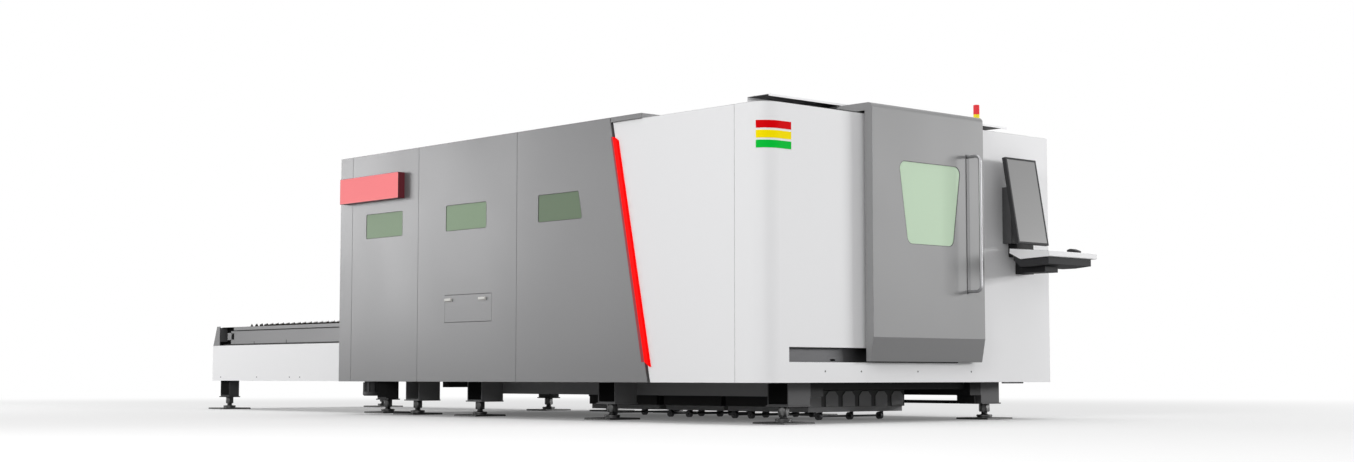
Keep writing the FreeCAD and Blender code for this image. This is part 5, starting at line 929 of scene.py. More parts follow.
# %% [markdown]
# ## Where the screws stand
#
# Twelve screws carry the machine, each on its own square floor plate. The plates are one
# piece of the frame, so their corners say where the screws stand, and no place is typed in.
#
# %% Middles of the floor plates
PLATE, NEAR = 0.320, 0.002


def corners_of(node):
    """All corner points of one of the frame's pieces, one in a row."""
    mesh = nodes[node].data
    spots = np.empty(len(mesh.vertices) * 3)
    mesh.vertices.foreach_get("co", spots)
    return spots.reshape(-1, 3)


def plate_centres():
    """Middles of the floor plates: a bottom corner (x, y) counts if (x + plate, y + plate) is a
    corner too, and the middle lies half a plate further both ways."""
    spots = corners_of("floor_plates")
    bottom = spots[spots[:, 2] < NEAR]
    corners = np.unique(np.round(bottom[:, :2], 3), axis=0)
    apart = corners[None] - corners[:, None]
    partner = (np.abs(apart - PLATE) < NEAR).all(axis=2).any(axis=1)
    return corners[partner] + PLATE / 2


SCREW_SPOTS = plate_centres()
print("floor plates found:", len(SCREW_SPOTS))

# %% [markdown]
# ## Levelling screws
#
# A levelling screw is a thick threaded spindle with a round foot and a long hexagon nut under
# the bracket, for the spanner. The frame has the plain form. Here one is turned anew with its
# thread and its chamfers, copied to every plate, and stands for the plain ones.
#
# %% Levelling screws
PLATE_TOP, FOOT_HIGH, FOOT_RADIUS, FOOT_EASE, FOOT_CHAMFER = 0.015, 0.042, 0.064, 0.004, 0.003
WAIST_HIGH, RIM_LOW = PLATE_TOP + 0.006, PLATE_TOP + 0.010
NUT_LOW, NUT_HIGH, NUT_FLATS = 0.060, 0.125, 0.076
SPINDLE = 0.0255


def foot_disc():
    """Round foot: a waist above the plate, a chamfered rim and a low collar round the spindle."""
    rim, waist, collar = FOOT_RADIUS, FOOT_RADIUS - FOOT_EASE, SPINDLE + FOOT_EASE
    radii = [waist, waist, rim, rim, rim - FOOT_CHAMFER, collar + FOOT_EASE, collar]
    top = FOOT_HIGH - FOOT_EASE
    heights = [PLATE_TOP, WAIST_HIGH, RIM_LOW, top - FOOT_CHAMFER, top, top, FOOT_HIGH]
    return turned(radii, heights, steps=40)


one_screw = joined([foot_disc(), thread(SPINDLE, FOOT_HIGH, NUT_LOW), nut(NUT_FLATS, NUT_LOW, NUT_HIGH)])
screw_offsets = np.column_stack([SCREW_SPOTS, np.zeros(len(SCREW_SPOTS))])
screws = make_piece(
    "threaded_levelling_screws", *copies(*one_screw, screw_offsets), SCREW_STEEL, "machine", "steel",
    smooth=False,
)
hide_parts("levelling_screws")

# %% [markdown]
# ## Button screws
#
# The front skirt and the table's skirts are held by small button head screws with a hexagon
# socket. The head is an arc turned round, the socket a step down in its middle. A machine has
# dozens of them, so one head has few faces, and the copies are turned to face out of the sheet.
#
# %% Button heads
HEAD_RADIUS, HEAD_RISE, HEAD_SUNK = 0.007, 0.0035, 0.0002
DOME_RINGS, SOCKET_RINGS, SOCKET_FLOOR = (0.0058, 0.0042), (0.0025, 0.0024), 0.25
SKIRT_SCREWS_X, SKIRT_SCREW_HEIGHT = (0.621, 1.008, 1.646, 2.284), 0.382
TABLE_SCREWS_Y, TABLE_SCREW_HEIGHT = (8.710, 7.962, 7.316, 7.117, 6.387), 0.338


def button_head():
    """Dome z = rise times (1 - (r / R) squared), from the rim to the socket, then its floor."""
    radii = np.array([HEAD_RADIUS, HEAD_RADIUS, *DOME_RINGS, *SOCKET_RINGS])
    heights = HEAD_RISE * (1 - (radii / HEAD_RADIUS) ** 2)
    heights[0], heights[-1] = -HEAD_SUNK, HEAD_RISE * SOCKET_FLOOR
    return turned(radii, heights, steps=12)


def facing(points, direction):
    """Points whose Z is turned to a direction: x, y and z run along two cross axes and it."""
    out = np.asarray(direction, float)
    across = np.cross([0.0, 0.0, 1.0], out)
    up = np.cross(out, across)
    points = np.asarray(points).reshape(-1, 3)
    return points[:, :1] * across + points[:, 1:2] * up + points[:, 2:] * out


def button_screws(name, rows):
    """A head at every spot of each row, facing out of the sheet along the row's direction."""
    heads, faces = button_head()
    parts = [copies(facing(heads, direction), faces, spots) for direction, spots in rows]
    make_piece(name, *joined(parts), SCREW_STEEL, "machine", "steel")


skirt_low, skirt_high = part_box("table_skirts")
front_spots = [place(x, 0.0, SKIRT_SCREW_HEIGHT) for x in SKIRT_SCREWS_X]
left_spots = [(skirt_low.x, *place(0.0, y, TABLE_SCREW_HEIGHT)[1:]) for y in TABLE_SCREWS_Y]
right_spots = [(skirt_high.x, y, z) for x, y, z in left_spots]
button_screws("front_skirt_screws", [((0.0, -1.0, 0.0), front_spots)])
button_screws("table_skirt_screws", [((-1.0, 0.0, 0.0), left_spots), ((1.0, 0.0, 0.0), right_spots)])

# %% [markdown]
# ## Window seals
#
# A pane sits in a rubber profile. Seen from outside it is a thin dark line round the glass,
# and it follows the rounded corners of the opening. So the path of a seal is a polygon whose
# corners are replaced by arcs. All corners are rounded at once, as rows of one array.
#
# %% Rounded outline
def rounded_outline(corners, radius, steps):
    """Path of a closed polygon with a circle of the radius fitted in each corner: the arc runs
    between the two tangent points, radius over tan(half the corner's angle) from the corner."""
    corners = np.asarray(corners, float)
    back = np.roll(corners, 1, axis=0) - corners
    ahead = np.roll(corners, -1, axis=0) - corners
    back /= np.linalg.norm(back, axis=1, keepdims=True)
    ahead /= np.linalg.norm(ahead, axis=1, keepdims=True)
    half = np.arccos((back * ahead).sum(axis=1)) / 2
    bisector = (back + ahead) / np.linalg.norm(back + ahead, axis=1, keepdims=True)
    centre = corners + bisector * (radius / np.sin(half))[:, None]
    first = corners + back * (radius / np.tan(half))[:, None] - centre
    turn = np.sign(back[:, 0] * ahead[:, 1] - back[:, 1] * ahead[:, 0]) * -(np.pi - 2 * half)
    angle = turn[:, None] * np.linspace(0.0, 1.0, steps)[None]
    cos, sin = np.cos(angle), np.sin(angle)
    x = first[:, :1] * cos - first[:, 1:] * sin
    y = first[:, :1] * sin + first[:, 1:] * cos
    return (np.stack([x, y], axis=-1) + centre[:, None]).reshape(-1, 2)


square = [(0.0, 0.0), (1.0, 0.0), (1.0, 1.0), (0.0, 1.0)]
print("a square with rounded corners has", len(rounded_outline(square, 0.1, 8)), "points")

# %% [markdown]
# ## A profile carried round
#
# The seal's profile is a low strip with slanted sides. At each point of the path it is placed
# across the path, and the rows of points so made are joined to a ring, which closes both ways.
#
# %% Seal round an outline
SEAL_PROFILE = 0.001 * np.array([[0.6, 0.3], [-0.6, 0.5], [-2.4, 0.2], [-3.0, -2.8], [0.6, -2.8]])


def carried_ring(path, profile):
    """A closed profile (outward, forward) carried along a closed flat path: each path point is
    moved along its own outward normal. Gives points (across, up, forward)."""
    tangent = np.roll(path, -1, axis=0) - np.roll(path, 1, axis=0)
    tangent /= np.linalg.norm(tangent, axis=1, keepdims=True)
    outward = np.column_stack([tangent[:, 1], -tangent[:, 0]])
    flat = path[:, None] + outward[:, None] * profile[None, :, :1]
    forward = np.broadcast_to(profile[None, :, 1:], flat.shape[:2] + (1,))
    points = np.concatenate([flat, forward], axis=-1)
    return points, grid_quads(len(path), len(profile), ring_rows=True, ring_columns=True)


def seal_ring(outline, radius, axis, face, steps=8):
    """Seal round an outline that is given on the two axes across the glass: the face is the
    sheet's place on the third axis, and the seal's forward runs against that axis."""
    ring, faces = carried_ring(rounded_outline(outline, radius, steps), SEAL_PROFILE)
    return np.insert(ring[..., :2].reshape(-1, 2), axis, face - ring[..., 2].ravel(), axis=1), faces


print("the seal's profile has", len(SEAL_PROFILE), "corners")

# %% [markdown]
# ## Door window seal
#
# The door's window is wider at the top than at the bottom, like the door itself. The pane's
# box gives its middle and its height, and the opening is smaller by the glass's lap.
#
# %% Door window seal
PANE_LAP, DOOR_SHEET_PROUD = 0.020, 0.003
DOOR_WINDOW_TOP, DOOR_WINDOW_BOTTOM, DOOR_WINDOW_CORNER = 0.728, 0.532, 0.060
pane_low, pane_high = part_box("door_window")
middle = (pane_low.x + pane_high.x) / 2
sill, lintel = pane_low.z + PANE_LAP, pane_high.z - PANE_LAP
door_hole = [
    (middle - DOOR_WINDOW_BOTTOM / 2, sill), (middle + DOOR_WINDOW_BOTTOM / 2, sill),
    (middle + DOOR_WINDOW_TOP / 2, lintel), (middle - DOOR_WINDOW_TOP / 2, lintel),
]
door_seal = seal_ring(door_hole, DOOR_WINDOW_CORNER, 1, pane_low.y - DOOR_SHEET_PROUD, 10)
make_piece("door_window_seal", *door_seal, SEAL_RUBBER, "door", "black_plastic")

# %% [markdown]
# ## Side window seals
#
# Three panes stand in the grey panels. The foremost one leans at its front end, along with
# the slanted joint of the cabin. Their outlines are measured from the panes' own box, and
# the same seal profile goes round each.
#
# %% Side window seals
SIDE_LAP, SIDE_CORNER, PANEL_PROUD = 0.015, 0.018, 0.003
SIDE_PANE, PANE_SPACING, FRONT_PANE, FRONT_INSET = 0.577, 1.233, 0.558, 0.0008
LEAN = np.tan(np.radians(12.24))
panes_low, panes_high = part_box("side_windows")
low_z, high_z = panes_low.z + SIDE_LAP, panes_high.z - SIDE_LAP
rise = high_z - low_z
print("the side windows are", round(rise * 1000), "mm high")


def window_ring(front, back, lean=0.0):
    """Seal round one side pane: the outline (y, z) runs from the front to the back edge, and its
    upper front corner leans back by lean times the height."""
    outline = [(front, low_z), (back, low_z), (back, high_z), (front + lean * rise, high_z)]
    return seal_ring(outline, SIDE_CORNER, 0, panes_low.x - PANEL_PROUD)


rear_back = panes_high.y - SIDE_LAP
middle_back = rear_back - PANE_SPACING
front_low = panes_low.y + SIDE_LAP - FRONT_INSET
side_rings = [
    window_ring(rear_back - SIDE_PANE, rear_back),
    window_ring(middle_back - SIDE_PANE, middle_back),
    window_ring(front_low, front_low + FRONT_PANE, LEAN),
]
make_piece("side_window_seals", *joined(side_rings), SEAL_RUBBER, "machine", "black_plastic")

# %% [markdown]
# ## Slatted pallets
#
# A pallet is a welded frame that carries a row of upright slats. A sheet should rest on
# points only, so that the beam burns little, so each slat is a comb of sharp teeth with short
# flats between them. Seen from the side, slat behind slat, the near teeth give the table its
# saw line. The frame's pallets have the same number of slats with plain coarse teeth.
# Here they are cut again: one outline per slat, given its thickness, and copied along.
#
# %% Pallets with sharp teeth
PALLET_BAR, PALLET_BAR_HIGH, PALLET_TIE = 0.060, 0.080, 0.025
SLATS, SLAT_THICK = 29, 0.004
TOOTH_PITCH, TOOTH_WIDE, TOOTH_DEPTH = 0.052, 0.042, 0.038


def slat_outline(x0, x1, low, top):
    """Strip from low to top less the tooth depth; on it stand triangles as high as the tooth
    depth and as wide as a tooth, one pitch apart from the left end on."""
    middles = np.arange(x0 + TOOTH_WIDE / 2, x1 - TOOTH_WIDE / 2, TOOTH_PITCH)
    x = (middles[:, None] + np.array([-0.5, 0.0, 0.5]) * TOOTH_WIDE).ravel()
    z = top - TOOTH_DEPTH * np.tile([1.0, 0.0, 1.0], len(middles))
    return np.concatenate([[(x1, low), (x0, low)], np.column_stack([x, z]), [(x1, top - TOOTH_DEPTH)]])


def slatted_pallet(name, node):
    """Two side bars, three ties between them and the slats, in the box of the node."""
    low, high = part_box(node)
    x0, x1, y0, y1, z0 = low.x, high.x, low.y, high.y, low.z
    inner0, inner1 = x0 + PALLET_BAR, x1 - PALLET_BAR
    parts = [block((a, y0, z0), (b, y1, z0 + PALLET_BAR_HIGH)) for a, b in ((x0, inner0), (inner1, x1))]
    for y in (y0, (y0 + y1 - PALLET_BAR) / 2, y1 - PALLET_BAR):
        parts.append(block((inner0, y, z0), (inner1, y + PALLET_BAR, z0 + PALLET_TIE)))
    first = y0 + (PALLET_BAR - SLAT_THICK) / 2
    slat = plate(slat_outline(inner0, inner1, z0 + PALLET_TIE, high.z), first, first + SLAT_THICK, 1)
    pitch = (y1 - y0 - PALLET_BAR) / (SLATS - 1)
    parts.append(copies(*slat, np.arange(SLATS)[:, None] * [0.0, pitch, 0.0]))
    pallet = make_piece(name, *joined(parts), SLAT_STEEL, node, "slat_steel", smooth=False)
    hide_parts(node)


slatted_pallet("upper_slatted_pallet", "upper_pallet")
slatted_pallet("lower_slatted_pallet", "lower_pallet")

# %% [markdown]
# ## Signal tower
#
# A signal tower is a stack of clear lenses on a foot. The lenses are moulded with fine
# upright ribs that spread the lamp's light, and a groove parts one from the next. It is a
# turned shape again, and the ribs are a small cosine of the angle taken off the radius.
#
# %% Ribbed lenses
TOWER_FOOT, TOWER_FOOT_HIGH, LENS, LENS_HIGH = 0.032, 0.014, 0.025, 0.080
RIBS, STEPS_A_RIB, RIB_DEPTH = 24, 4, 0.0006
GROOVE_DEPTH, GROOVE_HIGH, CAP_EDGE, STEP = 0.0020, 0.0015, 0.004, 0.001


def signal_tower():
    """Radius by height: foot, groove, lens, groove, lens, rounded cap; where it is a lens the
    radius loses rib depth times (1 + cos(ribs times the angle)) / 2."""
    low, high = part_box("signal_tower")
    top = high.z - low.z
    base, joint = TOWER_FOOT_HIGH, TOWER_FOOT_HIGH + LENS_HIGH
    groove = LENS - GROOVE_DEPTH
    rows = [
        (TOWER_FOOT, 0.0, 0), (TOWER_FOOT, 0.010, 0), (TOWER_FOOT - 2 * STEP, base - 2 * STEP, 0),
        (groove, base - STEP, 0), (groove, base, 0), (LENS, base + STEP, 1),
        (LENS, joint - GROOVE_HIGH, 1), (groove, joint - GROOVE_HIGH / 2, 0), (groove, joint, 0),
        (LENS, joint + GROOVE_HIGH / 2, 1), (LENS, top - CAP_EDGE, 1), (LENS - STEP, top - 1.5 * STEP, 0),
        (LENS - CAP_EDGE, top, 0),
    ]
    radius, height, ribbed = np.array(rows).T
    steps = STEPS_A_RIB * RIBS
    angles = np.arange(steps) * (2 * np.pi / steps)
    ribs = RIB_DEPTH * (1 + np.cos(RIBS * angles)) / 2
    points, faces = turned(radius[:, None] - ribbed[:, None] * ribs[None], height, steps)
    return points + np.array([(low.x + high.x) / 2, (low.y + high.y) / 2, low.z]), faces


tower = make_piece("ribbed_signal_tower", *signal_tower(), TOWER_COLOURS, "machine", "tower")
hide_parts("signal_tower")

# %% [markdown]
# ## Light diffuser
#
# The red line in the slanted joint is an opal diffuser over a strip of diodes. It stands proud
# of the sheets on both sides, so it shows its front and its flank, and its ends are cut with
# the joint. The strip of the frame gives the outline, and the diffuser reaches further out.
#
# %% Diffuser
DIFFUSER_PROUD, DIFFUSER_EASE = 0.006, 0.004


def strip_outline():
    """Corners (y, z) of the strip, in the order of their angle about their middle."""
    corners = np.unique(np.round(corners_of("light_strip")[:, 1:], 4), axis=0)
    middle = corners.mean(axis=0)
    turn = np.arctan2(corners[:, 1] - middle[1], corners[:, 0] - middle[0])
    return corners[np.argsort(turn)]


strip_corners = strip_outline()
strip_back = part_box("light_strip")[1].x
panel_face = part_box("grey_panel_front_left")[0].x
diffuser = make_piece(
    "light_diffuser", *plate(strip_corners, panel_face - DIFFUSER_PROUD, strip_back, 0),
    RED_STRIP, "machine", "light_red",
)
eased(diffuser, DIFFUSER_EASE, 3)
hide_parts("light_strip")

# %% [markdown]
# ## Red shade beside the diffuser
#
# A thin dark red sheet lies on the grey panel behind the diffuser: painted shade and painted
# red reflection, where the panel's edge beside the glow lies in shade and catches its red. It
# reads as a darker red line beside the bright one, wider at its foot than at its head. Its
# front edge is the diffuser's own rear edge.
#
# %% Red shade band
SHADE_BAND_FOOT_WIDE, SHADE_BAND_HEAD_WIDE, SHADE_BAND_THICK, SHADE_BAND_SUNK = 0.036, 0.020, 0.0015, 0.001
rear_edge = strip_corners[np.argsort(strip_corners[:, 0] - LEAN * strip_corners[:, 1])][-2:]
foot, head = rear_edge[np.argsort(rear_edge[:, 1])]
shade_band_outline = [foot, head, head + [SHADE_BAND_HEAD_WIDE, 0.0], foot + [SHADE_BAND_FOOT_WIDE, 0.0]]
make_piece(
    "diffuser_red_shade_band", *plate(shade_band_outline, panel_face - SHADE_BAND_THICK, panel_face + SHADE_BAND_SUNK, 0),
    RED_SHADE_PAINT, "machine", "light_red", smooth=False,
)

# %% [markdown]
# ## Console bracket
#
# The monitor and the tray hang from one bracket. A housing with two ears carries the
# monitor's hinge pin, a black column stands behind the tray, and an arm reaches under it. The
# frame's own housing and ears are kept by cutting a copy of its mesh with a plane, and the
# column and arm below are built from blocks with eased edges.
#
# %% Bracket
HOUSING_LOW, WELD, BLOCK_EASE = 1.405, 0.00005, 0.002
COLUMN_LEFT, COLUMN_FOOT_LEFT, COLUMN_FRONT, COLUMN_STEP = 2.770, 2.858, -0.085, 1.300
ARM_LEFT, ARM_RIGHT, ARM_BACK, ARM_TOP = 2.740, 2.910, -0.150, 1.212


def upper_part(node, height):
    """Merged copy of a node's mesh above a height, closed where it was cut."""
    shell = bmesh.new()
    shell.from_mesh(nodes[node].data)
    bmesh.ops.remove_doubles(shell, verts=shell.verts, dist=WELD)
    everything = shell.verts[:] + shell.edges[:] + shell.faces[:]
    bmesh.ops.bisect_plane(
        shell, geom=everything, plane_co=(0.0, 0.0, height), plane_no=(0.0, 0.0, 1.0), clear_inner=True
    )
    rim = [edge for edge in shell.edges if edge.is_boundary]
    bmesh.ops.holes_fill(shell, edges=rim, sides=0)
    points = np.array([vertex.co for vertex in shell.verts])
    faces = [[vertex.index for vertex in face.verts] for face in shell.faces]
    shell.free()
    return points, faces


bracket_low, bracket_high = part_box("console_column")
housing = make_piece(
    "monitor_housing", *upper_part("console_column", HOUSING_LOW), CASE_COAT, "machine", "tray_dark",
    smooth=False,
)
right = bracket_high.x - CORNER[0]
arm_front, arm_low = bracket_low.y - CORNER[1], bracket_low.z
column_parts = [
    machine_block((COLUMN_LEFT, COLUMN_FRONT, COLUMN_STEP), (right, 0.0, HOUSING_LOW)),
    machine_block((COLUMN_FOOT_LEFT, COLUMN_FRONT, arm_low), (right, 0.0, COLUMN_STEP)),
    machine_block((COLUMN_FOOT_LEFT, ARM_BACK, arm_low), (ARM_RIGHT, COLUMN_FRONT, ARM_TOP)),
    machine_block((ARM_LEFT, arm_front, arm_low), (ARM_RIGHT, ARM_BACK, ARM_TOP)),
]
column = make_piece("console_bracket", *joined(column_parts), ARM_COAT, "machine", "tray_dark")
eased(column, BLOCK_EASE)
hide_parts("console_column")
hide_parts("console_column")

# %% [markdown]
# ## Dark lines on the table's rails
#
# A thin black strip lies along each side rail's lower edge at the skirt, and another under
# the rail's lip: painted shade, where the skirt and the lip throw shade on the rail. Two short
# dark ticks mark joints in the rail's face. Everything on the table is the same on both sides,
# so each thing is made once and mirrored about the machine's middle.
#
# %% Rail shade lines
RAIL_START, RAIL_END, CHEEK_START, RAIL_FACE = 5.492, 8.510, 8.745, 0.606
SHADE_LINE_PROUD, SHADE_LINE_GAP, LOW_STRIP, HIGH_STRIP = 0.003, 0.0002, (0.6705, 0.686), (0.8205, 0.8285)
TICK_PROUD, TICK_WIDE, TICKS = 0.002, 0.006, ((8.100, 0.707), (7.459, 0.717))


def both_sides(*parts):
    """The pieces and their mirror images about the machine's middle plane, as one."""
    points, faces = joined(parts)
    mirrored = points * [-1.0, 1.0, 1.0] + [2 * MIDDLE_X, 0.0, 0.0]
    return joined([(points, faces), (mirrored, faces)])


def on_rail(proud, start, end, low, high):
    """Strip that stands proud of the rail's outer face, between two places and two heights."""
    return machine_block((RAIL_FACE - proud, start, low), (RAIL_FACE - SHADE_LINE_GAP, end, high))


# Black strips of painted shade under the lip and at the skirt, and two dark joint ticks.
rubber = [
    on_rail(SHADE_LINE_PROUD, RAIL_START, CHEEK_START, *LOW_STRIP),
    on_rail(SHADE_LINE_PROUD, RAIL_START, RAIL_END, *HIGH_STRIP),
    *[on_rail(TICK_PROUD, y, y + TICK_WIDE, LOW_STRIP[1], top) for y, top in TICKS],
]
make_piece("rail_edge_shade_lines", *both_sides(*rubber), RUBBER_AND_SHADE_LINES, "machine", "black_plastic", smooth=False)

# %% [markdown]
# ## Idler tension plates
#
# At the table's rear end the chain's idler shaft is tightened through a slotted plate with a
# clamp on it. A plate with a hole is four strips round the hole, which is all that a surface
# seen from one side needs. Two near black sheets are painted shade: they close the view past
# it into the table's end, where only shade is seen.
#
# %% Tension plates and painted shade
PLATE_LOW, PLATE_HIGH, PLATE_FACES = (RAIL_END + 0.0005, 0.672), (8.586, 0.822), (0.606, 0.610)
SLOT_LOW, SLOT_HIGH = (8.525, 0.733), (8.567, 0.798)


def framed_plate(low, high, hole_low, hole_high, faces):
    """Plate with a rectangular hole, as four strips round it, between two places along X. Its
    corners and the hole's are given as (y, z)."""
    (y0, z0), (y1, z1), (h0, k0), (h1, k1) = low, high, hole_low, hole_high
    front, back = faces
    strips = [((y0, z0), (y1, k0)), ((y0, k1), (y1, z1)), ((y0, k0), (h0, k1)), ((h1, k0), (y1, k1))]
    return joined([machine_block((front, *a), (back, *b)) for a, b in strips])


slotted = framed_plate(PLATE_LOW, PLATE_HIGH, SLOT_LOW, SLOT_HIGH, PLATE_FACES)
clamp = machine_block((0.602, 8.573, 0.729), (0.6058, 8.586, 0.804))
lug = machine_block((0.602, 8.5865, 0.729), (0.610, 8.654, 0.804))
tension_plates = both_sides(slotted, clamp, lug)
make_piece("idler_tension_plates", *tension_plates, GREY_COAT, "machine", "grey_paint", smooth=False)
# Sheets of painted shade where the view reaches into the table's end.
end_painted_shade = both_sides(
    machine_block((0.650, RAIL_END - 0.010, 0.655), (0.653, CHEEK_START, 0.855)),
    machine_block((0.5645, 8.7525, 0.655), (0.800, 8.7555, 0.712)),
)
make_piece("table_end_painted_shade", *end_painted_shade, PAINTED_SHADE_COAT, "machine", "frame_paint", smooth=False)

# %% [markdown]
# ## Open ends of the legs
#
# The bed's brackets are box tubes and the table's legs folded channels, and both open
# outwards. From the front left each shows a dark mouth with a bright rim at its edge and
# foot. A thin near black panel in each outer face is painted shade, standing for the shade
# inside the tube, and leaves the rim free.
#
# %% Leg mouths
LEG_MOUTHS, LEG_FACES, LEG_HEIGHTS = (5.720, 8.725), (0.622, 0.623), (0.150, 0.300)
LEG_BEFORE, LEG_BEHIND = 0.0825, 0.0925
BRACKET_MOUTHS, BRACKET_FACES = (0.295, 2.220, 4.000, 5.285), (0.432, 0.434)
BRACKET_HEIGHTS, BRACKET_HALF = (0.145, 0.411), 0.095


def mouths(middles, faces, heights, ahead, behind):
    """A panel of painted shade at each middle along Y, between two places along X and two heights."""
    (x0, x1), (low, high) = faces, heights
    return [machine_block((x0, y - ahead, low), (x1, y + behind, high)) for y in middles]


painted_shade_leg_mouths = both_sides(
    *mouths(LEG_MOUTHS, LEG_FACES, LEG_HEIGHTS, LEG_BEFORE, LEG_BEHIND),
    *mouths(BRACKET_MOUTHS, BRACKET_FACES, BRACKET_HEIGHTS, BRACKET_HALF, BRACKET_HALF),
)
make_piece("painted_shade_leg_mouths", *painted_shade_leg_mouths, PAINTED_SHADE_COAT, "machine", "frame_paint", smooth=False)

# %% [markdown]
# ## Blocks by the front wall
#
# Two small blocks are left: a white nylon stop that sits in the door's lower guide, and a
# dark rubber rest under the front wall's edge beside the right leg.
#
# %% Small blocks
stop = machine_block((0.735, 0.060, 0.455), (0.790, 0.095, 0.474))
eased(make_piece("door_stop", *stop, NYLON, "machine", "black_plastic"), BLOCK_EASE)
rest = machine_block((2.700, 0.001, 0.289), (2.945, 0.030, 0.2998))
eased(make_piece("edge_rest", *rest, RUBBER_AND_SHADE_LINES, "machine", "black_plastic"), BLOCK_EASE)

# %% [markdown]
# ## The view
#
# The photograph was taken close to the floor and far to the left of the front, with a
# normal lens. Its straight edges fix the camera: the height from the horizon, the heading
# from the two vanishing points, and the distance from the height of the front corner.
#
# %% Camera
CAMERA_SPOT, CAMERA_TURN = (-10.9849, -13.5733, 0.3475), (94.4034, 0.0, -42.344)
LENS_LENGTH, SENSOR_WIDTH, SIGHT_END = 50.11, 36.0, 200.0
camera = bpy.data.objects.new("camera", bpy.data.cameras.new("camera"))
camera.data.lens = LENS_LENGTH
camera.data.sensor_width = SENSOR_WIDTH
camera.data.clip_end = SIGHT_END
camera.location = CAMERA_SPOT
camera.rotation_euler = np.radians(CAMERA_TURN)
bpy.context.scene.collection.objects.link(camera)
bpy.context.scene.camera = camera
print("the camera stands", round(float(np.hypot(*CAMERA_SPOT[:2])), 1), "m from the machine's middle")

# %% [markdown]
# ## A white studio
#
# The machine stands in an endless white room. The camera and the mirrors in the scene see
# plain white, while the light that the room itself sheds is a dimmer glow from all sides. So
# the background can be white without washing out the colours of the machine.
#
# %% World
SEEN_WHITE, ROOM_GLOW = 1.0, 0.42


def sees_directly(tree):
    """One for rays from the camera, a mirror or glass, zero for light on rough surfaces."""
    path = add_node(tree, "ShaderNodeLightPath")
    mirror = maths(tree, "MAXIMUM", path.outputs["Is Camera Ray"], path.outputs["Is Glossy Ray"])
    return maths(tree, "MAXIMUM", mirror, path.outputs["Is Transmission Ray"])


def white_room():
    """World: white for direct looks, a dimmer glow for the light it sheds."""
    world = bpy.data.worlds.new("white room")
    world.use_nodes = True
    tree = world.node_tree
    extra = maths(tree, "MULTIPLY", sees_directly(tree), SEEN_WHITE - ROOM_GLOW)
    feed(tree, tree.nodes["Background"], Color=grey(1.0), Strength=maths(tree, "ADD", extra, ROOM_GLOW))
    return world


bpy.context.scene.world = white_room()
print("the room sheds", ROOM_GLOW, "of the white that it shows")

# %% [markdown]
# ## A pale floor
#
# The floor keeps the machine's soft shadow and still ends in the white of the room. Part of
# it is plain white, a larger share the further it lies from the machine, so that no horizon
# shows. What it throws back on the machine from below is a darker tone of its own.
#
# %% Floor
FLOOR_REACH, FLOOR_SHARE, FLOOR_BOUNCE = 60.0, 0.12, 0.38
FADE_START, FADE_END = 6.5, 16.0


def floor_finish():
    """White share = from the floor's share to one by a smooth step of the distance from the
    middle, for direct looks only; the rest is a rough pale coat, darker for other rays."""
    finish, tree, shader = new_finish("pale floor", Roughness=0.9, Specular_IOR_Level=0.0)
    tone = place_group(tree, POWDER_COAT, Colour=grey(0.90), Drift=0.01, Speckle=0.0)
    path = add_node(tree, "ShaderNodeLightPath")
    shown = mixed(tree, path.outputs["Is Camera Ray"], grey(FLOOR_BOUNCE), tone["Colour"])
    feed(tree, shader, Base_Color=shown)
    distance = add_node(tree, "ShaderNodeVectorMath", operation="LENGTH", in_Vector=own_place(tree))
    fade = add_node(
        tree, "ShaderNodeMapRange", interpolation_type="SMOOTHSTEP", in_Value=distance.outputs["Value"],
        in_From_Min=FADE_START, in_From_Max=FADE_END, in_To_Min=FLOOR_SHARE, in_To_Max=1.0,
    )
    share = maths(tree, "MULTIPLY", sees_directly(tree), fade.outputs["Result"])
    white = add_node(tree, "ShaderNodeEmission", in_Strength=1.0)
    blend = add_node(tree, "ShaderNodeMixShader")
    for socket, value in zip(blend.inputs, (share, shader.outputs[0], white.outputs[0])):
        supply(tree, socket, value)
    feed(tree, tree.nodes["Material Output"], Surface=blend.outputs[0])
    return finish


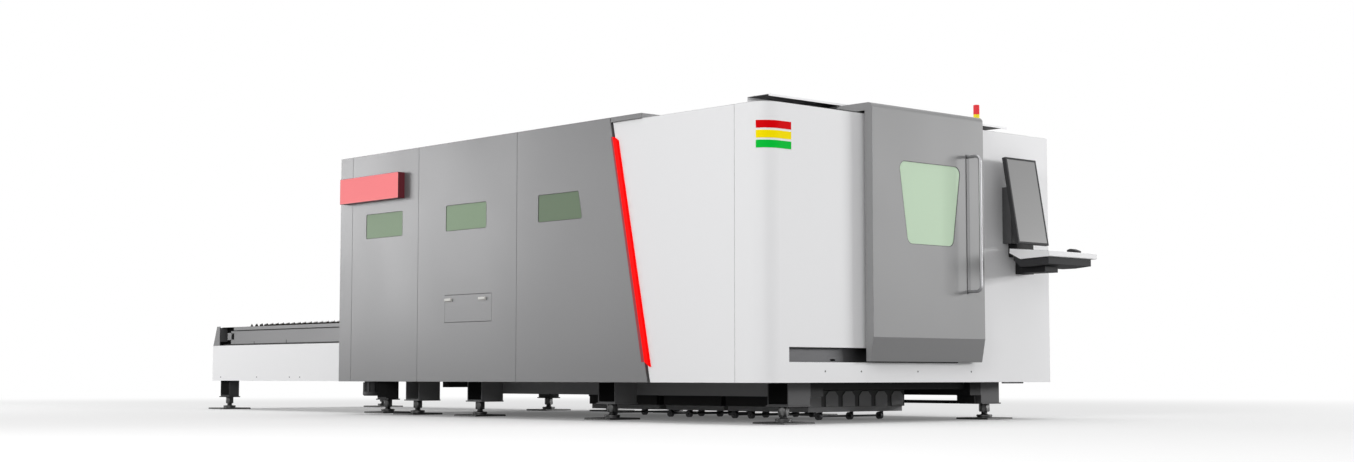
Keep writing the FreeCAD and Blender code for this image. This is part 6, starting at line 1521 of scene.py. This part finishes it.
def ground():
    """Square floor at height zero."""
    edge = np.array([-FLOOR_REACH, FLOOR_REACH])
    x, y = np.meshgrid(edge, edge, indexing="ij")
    points = np.stack([x, y, np.zeros_like(x)], axis=-1)
    mesh = bpy.data.meshes.new("floor")
    mesh.from_pydata(points.reshape(-1, 3).tolist(), [], grid_quads(2, 2).tolist())
    mesh.materials.append(floor_finish())
    floor = bpy.data.objects.new("floor", mesh)
    bpy.context.scene.collection.objects.link(floor)


ground()

# %% [markdown]
# ## Soft boxes
#
# Three large soft boxes light the machine: one over the rear left, one at the left front and
# one at the right front, whose soft shadow falls to the left of the console. A wide ceiling
# light brightens what lies flat. None is strong, so colours come out as they are written.
#
# %% Lamps
# Each soft box: where it stands, where it looks, its width and height, and its watts.
SOFT_BOXES = {
    "box over the rear left": ((-7.5, 9.5, 2.8), (-1.6, 1.4, 1.0), 3.5, 3.0, 262.0),
    "box at the left front": ((-12.0, -8.0, 5.0), (-1.6, -3.0, 1.2), 5.0, 5.0, 550.0),
    "box at the right front": ((15.5, -14.6, 3.6), (1.2, -4.3, 1.4), 7.0, 2.4, 1500.0),
}
CEILING_STRENGTH, CEILING_ANGLE = 1.0, 1.2


def soft_box(name, spot, target, width, height, watts):
    """Area lamp at a spot, turned to a target, with a width along the floor and a height."""
    lamp = bpy.data.lights.new(name, "AREA")
    lamp.shape, lamp.size, lamp.size_y, lamp.energy = "RECTANGLE", width, height, watts
    box = bpy.data.objects.new(name, lamp)
    box.location = spot
    box.rotation_euler = (Vector(target) - Vector(spot)).to_track_quat("-Z", "Y").to_euler()
    bpy.context.scene.collection.objects.link(box)
    print(name, "gives", watts, "watts")


def ceiling(strength, angle):
    """Sun straight above, as wide as the angle in radians: it lights the floor, not the walls."""
    lamp = bpy.data.lights.new("ceiling", "SUN")
    lamp.energy, lamp.angle = strength, angle
    bpy.context.scene.collection.objects.link(bpy.data.objects.new("ceiling", lamp))


for name, values in SOFT_BOXES.items():
    soft_box(name, *values)
ceiling(CEILING_STRENGTH, CEILING_ANGLE)
bpy.context.scene.view_settings.view_transform = "Standard"
